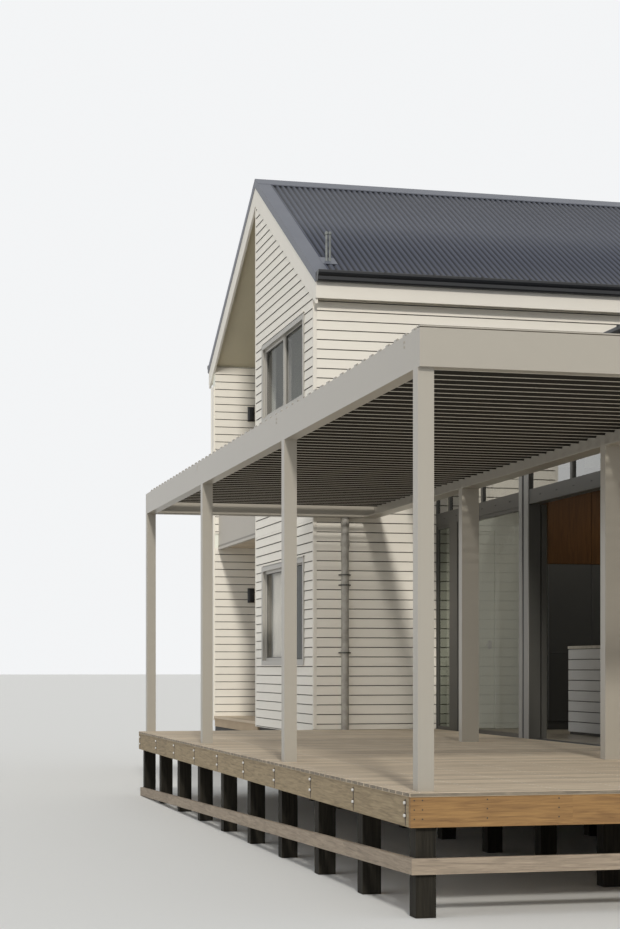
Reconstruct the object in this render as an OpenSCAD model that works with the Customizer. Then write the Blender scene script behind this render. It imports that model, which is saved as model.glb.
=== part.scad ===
// Beach house: a two storey gabled volume, a single storey living wing, a raised timber
// deck and a louvred pergola beside the wing's glazed side.
// X runs along the deck's front edge, Y runs back to the house and Z is up.
// Sizes are in millimetres. Places are measured from the near corner post's outer corner
// at the deck's surface, and placed() moves the whole house to its own middle and base.

/* [Levels] */
// Height of the deck surface above the lowest ground that the house meets
deck_height = 740; // [650:10:1000]
// Upper floor level above the deck surface
storey_rise = 2800; // [2700:10:2900]
// Top of the tall roof at its eaves above the deck surface
eave_level = 5350; // [5250:10:5700]
// Underside of the pergola's beams above the deck surface
beam_level = 2505; // [2455:10:2705]
// Rise of the ground from the deck's far end to its near corner
ground_rise = 258; // [0:2:300]

/* [Tall volume] */
// Length of the tall volume along its ridge
tall_length = 11500; // [10500:50:14000]
// Width of the tall volume over its side walls
tall_width = 6480; // [6300:20:7200]
// Distance from the outer post line to the gable end
gable_setback = 2010; // [1600:10:2300]
// Pitch of the tall roof in degrees
tall_pitch = 30; // [27:1:33]
// Overhang of the tall roof past its side walls
tall_eave = 150; // [100:10:200]
// Thickness of the framed walls
wall_t = 160; // [130:5:190]
// Thickness of the roofs across their slope
roof_t = 200; // [150:5:230]
// Depth of the covered porch, and of the balcony over it
recess_depth = 1900; // [1400:50:2400]

/* [Living wing] */
// Length of the wing in front of the tall volume
wing_length = 10600; // [9500:20:10800]
// Width of the wing from its glazed side to its back
wing_width = 5500; // [5000:50:7000]
// Distance from the outer post line to the glazed side
glazing_setback = 3500; // [3400:10:3800]
// Pitch of the wing's roof in degrees
wing_pitch = 15; // [10:1:18]
// Overhang of the wing's roof
wing_eave = 450; // [300:10:480]
// Top of the wing's roof at its eaves above the deck surface
wing_eave_level = 3540; // [3500:10:3800]

/* [Windows] */
// Width of a window
window_w = 2350; // [1800:10:2400]
// Height of a lower window
window_h = 1270; // [1000:10:1300]
// Height of an upper window
upper_window_h = 1000; // [900:10:1100]
// Sill of the lower windows above the floor
window_sill = 780; // [650:10:850]
// Sill of the upper windows above the upper floor
upper_window_sill = 1185; // [1000:5:1200]
// Width of a window's frame bars
frame_w = 45; // [40:5:80]
// Width of the facing boards round a window
facing_w = 15; // [10:5:40]
// Thickness of the glass units
glass_t = 24; // [16:1:28]

/* [Glazed side] */
// Head of the glazed doors above the floor
door_head = 2420; // [2300:10:2440]
// Depth of the bar between the doors and the lights over them
transom_h = 150; // [80:5:180]
// Top of the lights over the doors
light_top = 2950; // [2850:10:3050]
// Depth of the door frame through the wall
door_frame_d = 125; // [123:1:140]
// Thickness of a door leaf
leaf_t = 34; // [30:1:34]
// Clear opening between the jambs of the sliding doors
doorway_w = 3140; // [2900:20:3300]
// Distance from the tall volume to that opening
doorway_setback = 3180; // [3150:10:3400]
// Overlap of neighbouring leaves when they are closed
leaf_overlap = 60; // [40:5:90]

/* [Pergola] */
// Side of a square pergola post
post_size = 100; // [80:5:115]
// Distance between neighbouring posts
post_pitch = 3527; // [3450:1:3700]
// Number of posts on the outer line
post_count = 4; // [4:1:5]
// Depth of the pergola's beams
beam_h = 230; // [180:5:240]
// Width of the posts beside the glazed side, across the deck
wall_post_size = 175; // [140:5:200]
// Depth of the posts beside the glazed side, along the house
wall_post_d = 100; // [80:5:140]
// From the near corner to the second post beside the glazed side
wall_post_setback = 3290; // [3000:10:3500]
// Spacing of the posts beside the glazed side
wall_post_pitch = 3600; // [3400:10:3700]
// Distance from the outer post line to the inner beam
inner_beam_setback = 2570; // [2400:10:2700]
// Distance between neighbouring louvre blades
blade_pitch = 190; // [160:5:240]
// Width of a louvre blade
blade_w = 170; // [110:5:180]
// Thickness of a louvre blade
blade_t = 16; // [8:1:22]
// Tilt of the blades in degrees
blade_tilt = 45; // [25:1:60]

/* [Deck] */
// Reach of the deck past the outer post line
deck_reach = 75; // [60:5:200]
// Reach of the deck past the front posts
deck_front_reach = 100; // [60:5:300]
// Thickness of the deck boards
board_t = 25; // [20:1:32]
// Depth of the joists, and of the bearers under them
joist_h = 90; // [70:5:110]
// Thickness of the joists
joist_t = 45; // [35:1:60]
// Distance between neighbouring joists
joist_pitch = 450; // [400:10:600]
// Side of a square pile
pile_size = 125; // [110:5:150]
// Number of piles in each row from front to back
pile_count = 10; // [8:1:11]
// Thickness of the deck's edge boards
fascia_t = 40; // [30:1:50]
// Depth of the boards along the foot of the piles
ground_board_h = 95; // [70:5:140]

/* [Roof edges] */
// Depth of the eaves boards
eave_board_h = 270; // [250:5:290]
// Depth of the barge boards, measured plumb
barge_h = 330; // [240:5:340]
// Thickness of the eaves and barge boards
trim_t = 30; // [20:1:40]
// Width and depth of the gutters
gutter_size = 125; // [100:5:135]
// Diameter of the downpipe
pipe_d = 90; // [60:1:95]

/* [Hidden] */

// Room that a sliding leaf keeps from what it passes
running_gap = 5;
// Gap between a leaf and the rail that carries it
seat_gap = 0.3;
// Reach of a cutting shape past the faces that it cuts
cut = 5;
curve_facets = 48;

base_z = -deck_height;

// The tall volume in plan
x_gable = gable_setback;
x_east = x_gable + tall_length;
y_near = (post_count - 1) * post_pitch + post_size;
y_far = y_near + tall_width;
y_ridge = (y_near + y_far) / 2;
y_near_eave = y_near - tall_eave;
y_far_eave = y_far + tall_eave;
x_recess = x_gable + recess_depth;
x_recess_inner = x_recess + wall_t;
plinth_inset = 30;
cladding_drop = 60;
z_clad = -cladding_drop;

// Heights of the tall roof's faces above any Y
tall_slope = tan(tall_pitch);
tall_drop = roof_t / cos(tall_pitch);
function tall_top(y) = eave_level + (tall_width / 2 + tall_eave - abs(y - y_ridge)) * tall_slope;
function tall_under(y) = tall_top(y) - tall_drop;
// Top of a wall under that roof
function tall_wall(y) = tall_under(y) - seat_gap;

// The wing in plan
x_glazing = glazing_setback;
x_back = x_glazing + wing_width;
x_wing_ridge = x_glazing + wing_width / 2;
x_left_eave = x_glazing - wing_eave;
x_right_eave = x_back + wing_eave;
y_wing = y_near - wing_length;
verge_reach = 50;
y_wing_verge = y_wing - verge_reach;

// Heights of the wing roof's faces above any X
wing_slope = tan(wing_pitch);
wing_drop = roof_t / cos(wing_pitch);
function wing_top(x) = wing_eave_level + (wing_width / 2 + wing_eave - abs(x - x_wing_ridge)) * wing_slope;
function wing_under(x) = wing_top(x) - wing_drop;
function wing_wall(x) = wing_under(x) - seat_gap;

// Floors
floor_t = 280;
ground_t = 160;
porch_t = 150;
balcony_t = 210;
balcony_step = 40;
panel_t = 40;
panel_inset = 60;
panel_top = storey_rise + 1000;
x_panel = x_gable + panel_inset;
z_ceiling = storey_rise - floor_t;

// Windows, placed by their middles along each wall
upper_sill = storey_rise + upper_window_sill;
window_depth = 90;
facing_t = 35;
glass_inset = 30;
mullion_step = 22;
gable_window_shift = 10;
y_gable_window = (y_near + y_ridge) / 2 + gable_window_shift;
y_far_half = (y_ridge + y_far) / 2;
x_far_windows = [x_recess + tall_length / 4, x_recess + tall_length * 5 / 8];
y_back_windows = [y_wing + wing_length / 4, y_wing + wing_length * 5 / 8];
recess_door_w = 1800;
recess_door_h = 2100;
door_step = 20;
y_recess_door = (y_ridge + y_far - wall_t) / 2;
lower_size = [window_w, window_h];
upper_size = [window_w, upper_window_h];
recess_door_size = [recess_door_w, recess_door_h];

// The glazed side, measured along Y
jamb_w = 50;
y_door1 = y_near - doorway_setback;
y_door0 = y_door1 - doorway_w;
y_glazing = y_door0 - jamb_w;
y_middle_post = y_door1 + 280;
y_stile = y_near - 820;
stile_w = 270;
light_bar = 60;
light_posts = [y_near - 550, y_near - 1720, y_near - 3020, y_near - 4370, y_near - 5700];
rail_w = 6;
pane_setback = 20;
leaf_stile = 55;
leaf_rail = 80;
leaf_w = (doorway_w + 2 * leaf_overlap) / 3;
leaf_bottom = running_gap;
leaf_top = door_head - running_gap;
track_gap = (door_frame_d - 3 * leaf_t) / 4;
// Outer face of a leaf on track 0, 1 or 2, counted from outside
function track_x(i) = x_glazing + track_gap + i * (leaf_t + track_gap);

// The deck in plan
x_deck = -deck_reach;
y_deck = -deck_front_reach;
deck_gap = 5;
deck_lap = fascia_t;
y_deck_end = y_near + deck_lap;
x_deck_inner = x_glazing - deck_gap;
fascia_h = 2 * joist_h;
z_joist = -board_t - joist_h;
z_bearer = z_joist - joist_h;
bearer_t = 2 * joist_t;
ground_board_t = 35;
pile_inset = fascia_t + 5;
x_pile_rows = [x_deck + pile_inset, (x_deck + x_deck_inner - pile_size) / 2,
    x_deck_inner - 4 * pile_size];
y_pile0 = y_deck + pile_inset;
pile_span = (y_near - deck_gap - pile_size - y_pile0) / (pile_count - 1);
function pile_y(i) = y_pile0 + i * pile_span;

// The pergola
beam_lip = 40;
x_inner = inner_beam_setback;
y_wall_posts = [0, wall_post_setback, wall_post_setback + wall_post_pitch];
y_front_inner = post_size - beam_lip;
y_rear_inner = y_near - post_size;
web_t = 12;
rail_t = 10;
rail_foot = 50;
rail_head = 10;
blade_drop = 38;
blade_z = beam_level + beam_h - blade_drop;
x_beam_end = x_inner + wall_post_size;
blade_run = y_rear_inner - y_front_inner;
blade_count = floor((blade_run - blade_w) / blade_pitch) + 1;
y_blade0 = (y_front_inner + y_rear_inner - (blade_count - 1) * blade_pitch) / 2;

// Roof edges
cap_reach = 180;
cap_t = 12;
barge_lip = 15;
gutter_wall = 5;
gutter_lift = 25;

// Pipework
pipe_setback = 355;
x_pipe = x_gable + pipe_setback;
y_pipe = y_near - post_size / 2;
clip_levels = [910, 1705, 1820];
clip_h = 30;
clip_t = 5;
vent_setback = 220;
vent_rise = 380;
vent_place = [x_gable + vent_setback, y_near_eave + vent_rise];
vent_pipe_d = 28;
vent_spread = 42;
vent_h = 350;
boot_h = 60;

// Wall lights on the far wall's porch side, one for each storey
lamp_setback = 550;
lamp_w = 100;
lamp_d = 70;
lamp_h = 220;
lower_lamp = 1720;
upper_lamp = 4475;
x_wall_light = x_gable + lamp_setback;

// Kitchen pieces seen through the doorway
island_setback = 910;
island_length = 2400;
island_depth = 850;
island_gap = 2031;
island_h = 940;
top_t = 30;
top_reach = 20;
cabinet_setback = 1200;
cabinet_length = 3300;
cabinet_d = 600;
cabinet_x = [x_glazing + cabinet_setback, x_glazing + cabinet_setback + cabinet_length];
island_x = [x_glazing + island_setback, x_glazing + island_setback + island_depth];
island_y = [y_near - island_gap - island_length, y_near - island_gap];
cabinet_h = 1960;
panel_h = 1150;

curtain_gap = 5;
curtain_side = 15;
curtain_hem = 15;

// The whole house's box, for its origin
x_low = x_deck;
x_high = x_east + max(trim_t, facing_t);
y_low = min(y_deck, y_wing_verge - trim_t);
y_high = y_far_eave + trim_t + gutter_size;

module placed() {
    translate([-(x_low + x_high) / 2, -(y_low + y_high) / 2, -base_z]) children();
}

module block(x, y, z) {
    translate([x[0], y[0], z[0]]) cube([x[1] - x[0], y[1] - y[0], z[1] - z[0]]);
}

// A plate drawn in Y and Z, and one drawn in X and Z
module cross_plate(points, x) {
    translate([x[0], 0, 0]) rotate([90, 0, 90]) linear_extrude(x[1] - x[0]) polygon(points);
}

module long_plate(points, y) {
    translate([0, y[1], 0]) rotate([90, 0, 0]) linear_extrude(y[1] - y[0]) polygon(points);
}

// Turns a piece drawn on a wall that faces -Y to face another way; the piece's X = 0 is
// its middle and its Y = 0 is the wall's outer face
module facing_west(x, y, z) { translate([x, y, z]) rotate([0, 0, -90]) children(); }
module facing_east(x, y, z) { translate([x, y, z]) rotate([0, 0, 90]) children(); }
module facing_near(x, y, z) { translate([x, y, z]) children(); }
module facing_far(x, y, z) { translate([x, y, z]) rotate([0, 0, 180]) children(); }

// The windows of the tall volume with their sills at a level
module tall_windows(z) {
    facing_west(x_gable, y_gable_window, z) children();
    for (x = x_far_windows) facing_far(x, y_far, z) children();
    for (y = [y_gable_window, y_far_half]) facing_east(x_east, y, z) children();
}

module wing_windows() {
    for (y = y_back_windows) facing_east(x_back, y, window_sill) children();
    facing_near(x_wing_ridge, y_wing, window_sill) children();
}

module tall_window_holes() {
    tall_windows(window_sill) window_hole(lower_size);
    tall_windows(upper_sill) window_hole(upper_size);
}

module recess_doors() {
    for (z = [door_step, storey_rise + door_step]) facing_west(x_recess, y_recess_door, z) children();
}

module window_hole(size) {
    block([-size[0] / 2, size[0] / 2], [-cut, wall_t + cut], [0, size[1]]);
}

// A frame with two lights and its facing boards, of which the lowest may be left out
module window_frame(size, sill_facing) {
    light_w = (size[0] - 3 * frame_w) / 2;
    difference() {
        union() {
            block([-size[0] / 2, size[0] / 2], [-facing_t, window_depth], [0, size[1]]);
            block([-size[0] / 2 - facing_w, size[0] / 2 + facing_w], [-facing_t, 0],
                [-sill_facing, size[1] + facing_w]);
        }
        block([-light_w - frame_w / 2, light_w + frame_w / 2],
            [-facing_t - cut, glass_inset - mullion_step], [frame_w, size[1] - frame_w]);
        for (side = [-1, 1]) {
            translate([side * (light_w + frame_w) / 2, 0, 0])
                block([-light_w / 2, light_w / 2], [-facing_t - cut, window_depth + cut],
                    [frame_w, size[1] - frame_w]);
        }
    }
}

module window_panes(size) {
    light_w = (size[0] - 3 * frame_w) / 2;
    for (side = [-1, 1]) {
        translate([side * (light_w + frame_w) / 2, 0, 0])
            block([-light_w / 2, light_w / 2], [glass_inset, glass_inset + glass_t],
                [frame_w, size[1] - frame_w]);
    }
}

module decking() {
    color([0.62, 0.57, 0.50]) placed() translate([0, 0, -board_t]) linear_extrude(board_t)
        polygon([[x_deck, y_deck], [x_deck_inner, y_deck], [x_deck_inner, y_near - deck_gap],
            [x_gable - deck_gap, y_near - deck_gap], [x_gable - deck_gap, y_deck_end],
            [x_deck, y_deck_end]]);
}

module deck_joists() {
    x0 = x_deck + fascia_t;
    last = floor((x_deck_inner - joist_t - x0) / joist_pitch);
    color([0.55, 0.48, 0.36]) placed() for (i = [0:last]) {
        x = x0 + i * joist_pitch;
        y_end = x + joist_t < x_gable ? y_deck_end - fascia_t : y_near - deck_gap;
        block([x, x + joist_t], [y_deck + fascia_t, y_end], [z_joist, -board_t]);
    }
}

module deck_bearers() {
    color([0.50, 0.43, 0.32]) placed() for (i = [0:pile_count - 1]) {
        y = pile_y(i) + (pile_size - bearer_t) / 2;
        block([x_deck + fascia_t, x_deck_inner], [y, y + bearer_t], [z_bearer, z_joist]);
    }
}

module deck_side_fascia() {
    z = [-board_t - fascia_h, -board_t];
    color([0.65, 0.57, 0.43]) placed() {
        block([x_deck, x_deck + fascia_t], [y_deck + fascia_t, y_deck_end], z);
        block([x_deck, x_gable - deck_gap], [y_deck_end - fascia_t, y_deck_end], z);
    }
}

module deck_front_fascia() {
    color([0.65, 0.47, 0.27]) placed()
        block([x_deck, x_deck_inner], [y_deck, y_deck + fascia_t], [-board_t - fascia_h, -board_t]);
}

module deck_piles() {
    color([0.16, 0.15, 0.14]) placed() for (x = x_pile_rows) for (i = [0:pile_count - 1])
        block([x, x + pile_size], [pile_y(i), pile_y(i) + pile_size], [base_z, z_bearer]);
}

module ground_boards() {
    z_high = base_z + ground_rise;
    x0 = x_pile_rows[0] - ground_board_t;
    y0 = y_pile0 - ground_board_t;
    y1 = y_near - deck_gap;
    color([0.70, 0.64, 0.56]) placed() {
        cross_plate([[y_pile0, z_high], [y1, base_z], [y1, base_z + ground_board_h],
            [y_pile0, z_high + ground_board_h]], [x0, x_pile_rows[0]]);
        block([x0, x_pile_rows[2] + pile_size], [y0, y_pile0], [z_high, z_high + ground_board_h]);
    }
}

module pergola_posts() {
    color([0.70, 0.67, 0.62]) placed() for (i = [0:post_count - 1])
        block([0, post_size], [i * post_pitch, i * post_pitch + post_size], [0, beam_level]);
}

module wall_posts() {
    color([0.58, 0.56, 0.53]) placed() for (y = y_wall_posts)
        block([x_inner, x_inner + wall_post_size], [y, y + wall_post_d], [0, beam_level]);
}

// The beams are channels with their webs outside and a flange at the foot
module beam_plate(x, y, z) {
    color([0.73, 0.71, 0.68]) placed() block(x, y, z);
}

module pergola_long_beams() {
    flange = [beam_level, beam_level + web_t];
    web = [beam_level + web_t, beam_level + beam_h];
    beam_plate([0, post_size], [y_front_inner, y_rear_inner], flange);
    beam_plate([0, web_t], [web_t - beam_lip, y_near - web_t], web);
    beam_plate([x_inner, x_beam_end], [y_front_inner, y_rear_inner], flange);
    beam_plate([x_beam_end - web_t, x_beam_end], [web_t - beam_lip, y_near - web_t], web);
}

module pergola_cross_beams() {
    flange = [beam_level, beam_level + web_t];
    web = [beam_level + web_t, beam_level + beam_h];
    beam_plate([0, x_beam_end], [-beam_lip, y_front_inner], flange);
    beam_plate([0, x_beam_end], [-beam_lip, web_t - beam_lip], web);
    beam_plate([0, x_beam_end], [y_rear_inner, y_near], flange);
    beam_plate([0, x_beam_end], [y_near - web_t, y_near], web);
}

module louvre_rails() {
    color([0.60, 0.58, 0.55]) placed() for (x = [web_t, x_beam_end - web_t - rail_t])
        block([x, x + rail_t], [y_front_inner, y_rear_inner],
            [beam_level + rail_foot, beam_level + beam_h - rail_head]);
}

// A blade is a flat bar with round edges, its front edge high
module louvre_blades() {
    x = [web_t + rail_t, x_beam_end - web_t - rail_t];
    flat = blade_w - blade_t;
    color([0.66, 0.64, 0.60]) placed() for (i = [0:blade_count - 1])
        translate([x[0], y_blade0 + i * blade_pitch, blade_z]) rotate([90, 0, 90])
            linear_extrude(x[1] - x[0]) rotate(-blade_tilt) {
                square([flat, blade_t], center = true);
                for (end = [-1, 1])
                    translate([end * flat / 2, 0]) circle(d = blade_t, $fn = curve_facets);
            }
}

module foundation() {
    z = [base_z, z_clad];
    color([0.22, 0.22, 0.22]) placed() difference() {
        union() {
            difference() {
                block([x_gable + plinth_inset, x_east - plinth_inset],
                    [y_near + plinth_inset, y_far - plinth_inset], z);
                block([x_gable + wall_t, x_east - wall_t], [y_near + wall_t, y_far - wall_t],
                    [base_z - cut, z_clad + cut]);
            }
            difference() {
                block([x_glazing + plinth_inset, x_back - plinth_inset],
                    [y_wing + plinth_inset, y_near + plinth_inset], z);
                block([x_glazing + wall_t, x_back - wall_t], [y_wing + wall_t, y_near],
                    [base_z - cut, z_clad + cut]);
            }
            block([x_gable + wall_t, x_recess_inner], [y_ridge - wall_t, y_ridge], z);
            block([x_recess, x_recess_inner], [y_ridge - wall_t, y_far - wall_t], z);
        }
        block([x_gable - cut, x_recess], [y_ridge, y_far - wall_t], [-porch_t, cut]);
    }
}

module floor_plate(z) {
    translate([0, 0, z[0]]) linear_extrude(z[1] - z[0])
        polygon([[x_gable + wall_t, y_near + wall_t], [x_east - wall_t, y_near + wall_t],
            [x_east - wall_t, y_far - wall_t], [x_recess_inner, y_far - wall_t],
            [x_recess_inner, y_ridge - wall_t], [x_gable + wall_t, y_ridge - wall_t]]);
}

module ground_floor() {
    color([0.55, 0.50, 0.44]) placed() {
        floor_plate([-ground_t, 0]);
        block([x_glazing + wall_t, x_back - wall_t], [y_wing + wall_t, y_near], [-ground_t, 0]);
    }
}

module upper_floor() {
    color([0.80, 0.79, 0.76]) placed() floor_plate([z_ceiling, storey_rise]);
}

module gable_wall() {
    color([0.86, 0.84, 0.78]) placed() difference() {
        cross_plate([[y_near, z_clad], [y_ridge, z_clad], [y_ridge, tall_wall(y_ridge)],
            [y_near, tall_wall(y_near)]], [x_gable, x_gable + wall_t]);
        tall_window_holes();
    }
}

module near_wall() {
    y = [y_near, y_near + wall_t];
    color([0.90, 0.88, 0.81]) placed()
        cross_plate([[y[0], z_clad], [y[1], z_clad], [y[1], tall_wall(y[1])],
            [y[0], tall_wall(y[0])]], [x_gable + wall_t, x_east - wall_t]);
}

module far_wall() {
    y = [y_far - wall_t, y_far];
    color([0.84, 0.82, 0.76]) placed() difference() {
        cross_plate([[y[0], z_clad], [y[1], z_clad], [y[1], tall_wall(y[1])],
            [y[0], tall_wall(y[0])]], [x_gable, x_east - wall_t]);
        tall_window_holes();
    }
}

module east_wall() {
    color([0.86, 0.84, 0.78]) placed() difference() {
        cross_plate([[y_near, z_clad], [y_far, z_clad], [y_far, tall_wall(y_far)],
            [y_ridge, tall_wall(y_ridge)], [y_near, tall_wall(y_near)]],
            [x_east - wall_t, x_east]);
        tall_window_holes();
    }
}

module recess_walls() {
    y0 = y_ridge - wall_t;
    y1 = y_far - wall_t;
    color([0.84, 0.82, 0.76]) placed() difference() {
        union() {
            cross_plate([[y0, z_clad], [y_ridge, z_clad], [y_ridge, tall_wall(y_ridge)],
                [y0, tall_wall(y0)]], [x_gable + wall_t, x_recess_inner]);
            cross_plate([[y_ridge, z_clad], [y1, z_clad], [y1, tall_wall(y1)],
                [y_ridge, tall_wall(y_ridge)]], [x_recess, x_recess_inner]);
        }
        recess_doors() window_hole(recess_door_size);
    }
}

module porch_slab() {
    color([0.50, 0.46, 0.42]) placed()
        block([x_gable, x_recess], [y_ridge, y_far - wall_t], [-porch_t, 0]);
}

module balcony_floor() {
    z = storey_rise - balcony_step;
    color([0.60, 0.57, 0.52]) placed()
        block([x_panel + panel_t, x_recess], [y_ridge, y_far - wall_t], [z - balcony_t, z]);
}

module balcony_panel() {
    color([0.62, 0.62, 0.62]) placed()
        block([x_panel, x_panel + panel_t], [y_ridge, y_far - wall_t], [z_ceiling, panel_top]);
}

module roof_slope(y) {
    color([0.40, 0.41, 0.45]) placed()
        cross_plate([[y_ridge, tall_top(y_ridge)], [y_ridge, tall_under(y_ridge)],
            [y, tall_under(y)], [y, tall_top(y)]], [x_gable, x_east]);
}

module roof_near_slope() { roof_slope(y_near_eave); }
module roof_far_slope() { roof_slope(y_far_eave); }

module wing_slope_slab(x) {
    color([0.40, 0.41, 0.45]) placed()
        long_plate([[x_wing_ridge, wing_top(x_wing_ridge)], [x_wing_ridge, wing_under(x_wing_ridge)],
            [x, wing_under(x)], [x, wing_top(x)]], [y_wing_verge, y_near]);
}

module wing_roof_left() { wing_slope_slab(x_left_eave); }
module wing_roof_right() { wing_slope_slab(x_right_eave); }

// A folded cap over a ridge, drawn across the ridge with its fold at the middle
function cap_points(slope) = [[-cap_reach, -cap_reach * slope], [0, 0],
    [cap_reach, -cap_reach * slope], [cap_reach, cap_t - cap_reach * slope], [0, cap_t],
    [-cap_reach, cap_t - cap_reach * slope]];

module ridge_caps() {
    color([0.34, 0.35, 0.39]) placed() {
        translate([0, y_ridge, tall_top(y_ridge)]) cross_plate(cap_points(tall_slope), [x_gable, x_east]);
        translate([x_wing_ridge, 0, wing_top(x_wing_ridge)])
            long_plate(cap_points(wing_slope), [y_wing_verge, y_near]);
    }
}

// A pair of barge boards that meet over the ridge, as one chevron
function chevron(low, middle, high, drop, rise) = [[low, -drop], [middle, rise - drop],
    [high, -drop], [high, -drop - barge_h], [middle, rise - drop - barge_h],
    [low, -drop - barge_h]];

module barge_boards() {
    tall = chevron(y_near_eave, y_ridge, y_far_eave, barge_lip, (y_ridge - y_near_eave) * tall_slope);
    wing = chevron(x_left_eave, x_wing_ridge, x_right_eave, barge_lip,
        (x_wing_ridge - x_left_eave) * wing_slope);
    color([0.88, 0.86, 0.80]) placed() {
        for (x = [x_gable - trim_t, x_east]) translate([0, 0, eave_level]) cross_plate(tall, [x, x + trim_t]);
        translate([0, 0, wing_eave_level]) long_plate(wing, [y_wing_verge - trim_t, y_wing_verge]);
    }
}

module eave_boards() {
    z = [eave_level - barge_lip - eave_board_h, eave_level - barge_lip];
    wing_z = [wing_eave_level - barge_lip - eave_board_h, wing_eave_level - barge_lip];
    color([0.88, 0.86, 0.80]) placed() {
        for (y = [y_near_eave - trim_t, y_far_eave]) block([x_gable - trim_t, x_east + trim_t], [y, y + trim_t], z);
        block([x_left_eave - trim_t, x_left_eave], [y_wing_verge - trim_t, y_near], wing_z);
        block([x_right_eave, x_right_eave + trim_t], [y_wing_verge - trim_t, y_near], wing_z);
    }
}

// An open trough with closed ends, along X from its back face at Y = 0
module trough(length) {
    difference() {
        block([0, length], [-gutter_size, 0], [-gutter_size, 0]);
        block([gutter_wall, length - gutter_wall], [gutter_wall - gutter_size, -gutter_wall],
            [gutter_wall - gutter_size, cut]);
    }
}

module gutters() {
    tall_run = x_east - x_gable + 2 * trim_t;
    wing_run = y_near - y_wing_verge + trim_t;
    z = eave_level + gutter_lift;
    wing_z = wing_eave_level + gutter_lift;
    color([0.18, 0.18, 0.19]) placed() {
        translate([x_gable - trim_t, y_near_eave - trim_t, z]) trough(tall_run);
        translate([x_east + trim_t, y_far_eave + trim_t, z]) rotate([0, 0, 180]) trough(tall_run);
        translate([x_left_eave - trim_t, y_near, wing_z]) rotate([0, 0, -90]) trough(wing_run);
        translate([x_right_eave + trim_t, y_near - wing_run, wing_z]) rotate([0, 0, 90]) trough(wing_run);
    }
}

module roof_vent() {
    z = tall_top(vent_place[1]);
    color([0.45, 0.46, 0.50]) placed() difference() {
        for (side = [-1, 1]) translate([vent_place[0] + side * vent_spread / 2, vent_place[1], z - boot_h]) {
            cylinder(d = vent_pipe_d, h = vent_h + boot_h, $fn = curve_facets);
            cylinder(d1 = 2 * vent_pipe_d, d2 = vent_pipe_d, h = 2 * boot_h, $fn = curve_facets);
        }
        cross_plate([[y_ridge, tall_top(y_ridge)], [y_ridge, tall_top(y_ridge) - tall_width],
            [y_near_eave, eave_level - tall_width], [y_near_eave, eave_level]], [x_gable, x_east]);
    }
}

module downpipe() {
    color([0.66, 0.66, 0.66]) placed() translate([x_pipe, y_pipe, 0]) {
        cylinder(d = pipe_d, h = beam_level, $fn = curve_facets);
        translate([0, 0, beam_level - pipe_d]) cylinder(d = pipe_d + 2 * clip_t, h = pipe_d, $fn = curve_facets);
        for (z = clip_levels) translate([0, 0, z]) {
            cylinder(d = pipe_d + 2 * clip_t, h = clip_h, $fn = curve_facets);
            block([-clip_t, clip_t], [0, y_near - y_pipe], [0, clip_h]);
        }
    }
}

module wall_lights() {
    y = y_far - wall_t;
    color([0.05, 0.05, 0.05]) placed() for (z = [lower_lamp, upper_lamp])
        block([x_wall_light - lamp_w / 2, x_wall_light + lamp_w / 2], [y - lamp_d, y],
            [z, z + lamp_h]);
}

module window_frames() {
    color([0.47, 0.47, 0.47]) placed() {
        tall_windows(window_sill) window_frame(lower_size, facing_w);
        tall_windows(upper_sill) window_frame(upper_size, facing_w);
        wing_windows() window_frame(lower_size, facing_w);
        recess_doors() window_frame(recess_door_size, 0);
    }
}

module window_glass() {
    color([0.35, 0.40, 0.42]) placed() {
        tall_windows(window_sill) window_panes(lower_size);
        tall_windows(upper_sill) window_panes(upper_size);
        wing_windows() window_panes(lower_size);
        recess_doors() window_panes(recess_door_size);
    }
}

// A curtain hangs in the opening of the lower gable window, behind its far light
module curtain() {
    y_side = y_gable_window + window_w / 2;
    color([0.93, 0.92, 0.90]) placed()
        block([x_gable + window_depth + curtain_gap, x_gable + wall_t - curtain_gap],
            [y_gable_window, y_side - curtain_side], [window_sill + curtain_hem, window_sill + window_h]);
}

module wing_end_wall() {
    color([0.86, 0.84, 0.78]) placed() difference() {
        long_plate([[x_glazing, z_clad], [x_back, z_clad], [x_back, wing_wall(x_back)],
            [x_wing_ridge, wing_wall(x_wing_ridge)], [x_glazing, wing_wall(x_glazing)]],
            [y_wing, y_wing + wall_t]);
        wing_windows() window_hole(lower_size);
    }
}

module wing_back_wall() {
    x = [x_back - wall_t, x_back];
    color([0.86, 0.84, 0.78]) placed() difference() {
        long_plate([[x[0], z_clad], [x[1], z_clad], [x[1], wing_wall(x[1])],
            [x[0], wing_wall(x[0])]], [y_wing + wall_t, y_near]);
        wing_windows() window_hole(lower_size);
    }
}

// The glazed side's wall beside the doors, and its strip over them
module side_strip(z, y) {
    x = [x_glazing, x_glazing + wall_t];
    color([0.86, 0.84, 0.78]) placed()
        long_plate([[x[0], z], [x[1], z], [x[1], wing_wall(x[1])], [x[0], wing_wall(x[0])]], y);
}

module wing_side_wall() { side_strip(z_clad, [y_wing + wall_t, y_glazing]); }
module wing_lintel() { side_strip(light_top, [y_glazing, y_near]); }

module glazing_sill() {
    color([0.28, 0.28, 0.27]) placed() {
        block([x_glazing, x_glazing + wall_t], [y_glazing, y_near], [z_clad, 0]);
        for (i = [0:2]) {
            x = track_x(i) + (leaf_t - rail_w) / 2;
            block([x, x + rail_w], [y_door0, y_door1], [0, leaf_bottom - seat_gap]);
        }
    }
}

module glazing_posts() {
    color([0.28, 0.28, 0.27]) placed()
        for (y = [[y_glazing, y_door0], [y_door1, y_middle_post], [y_stile, y_stile + stile_w],
            [y_near - jamb_w, y_near]])
            block([x_glazing, x_glazing + door_frame_d], y, [0, door_head]);
}

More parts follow.
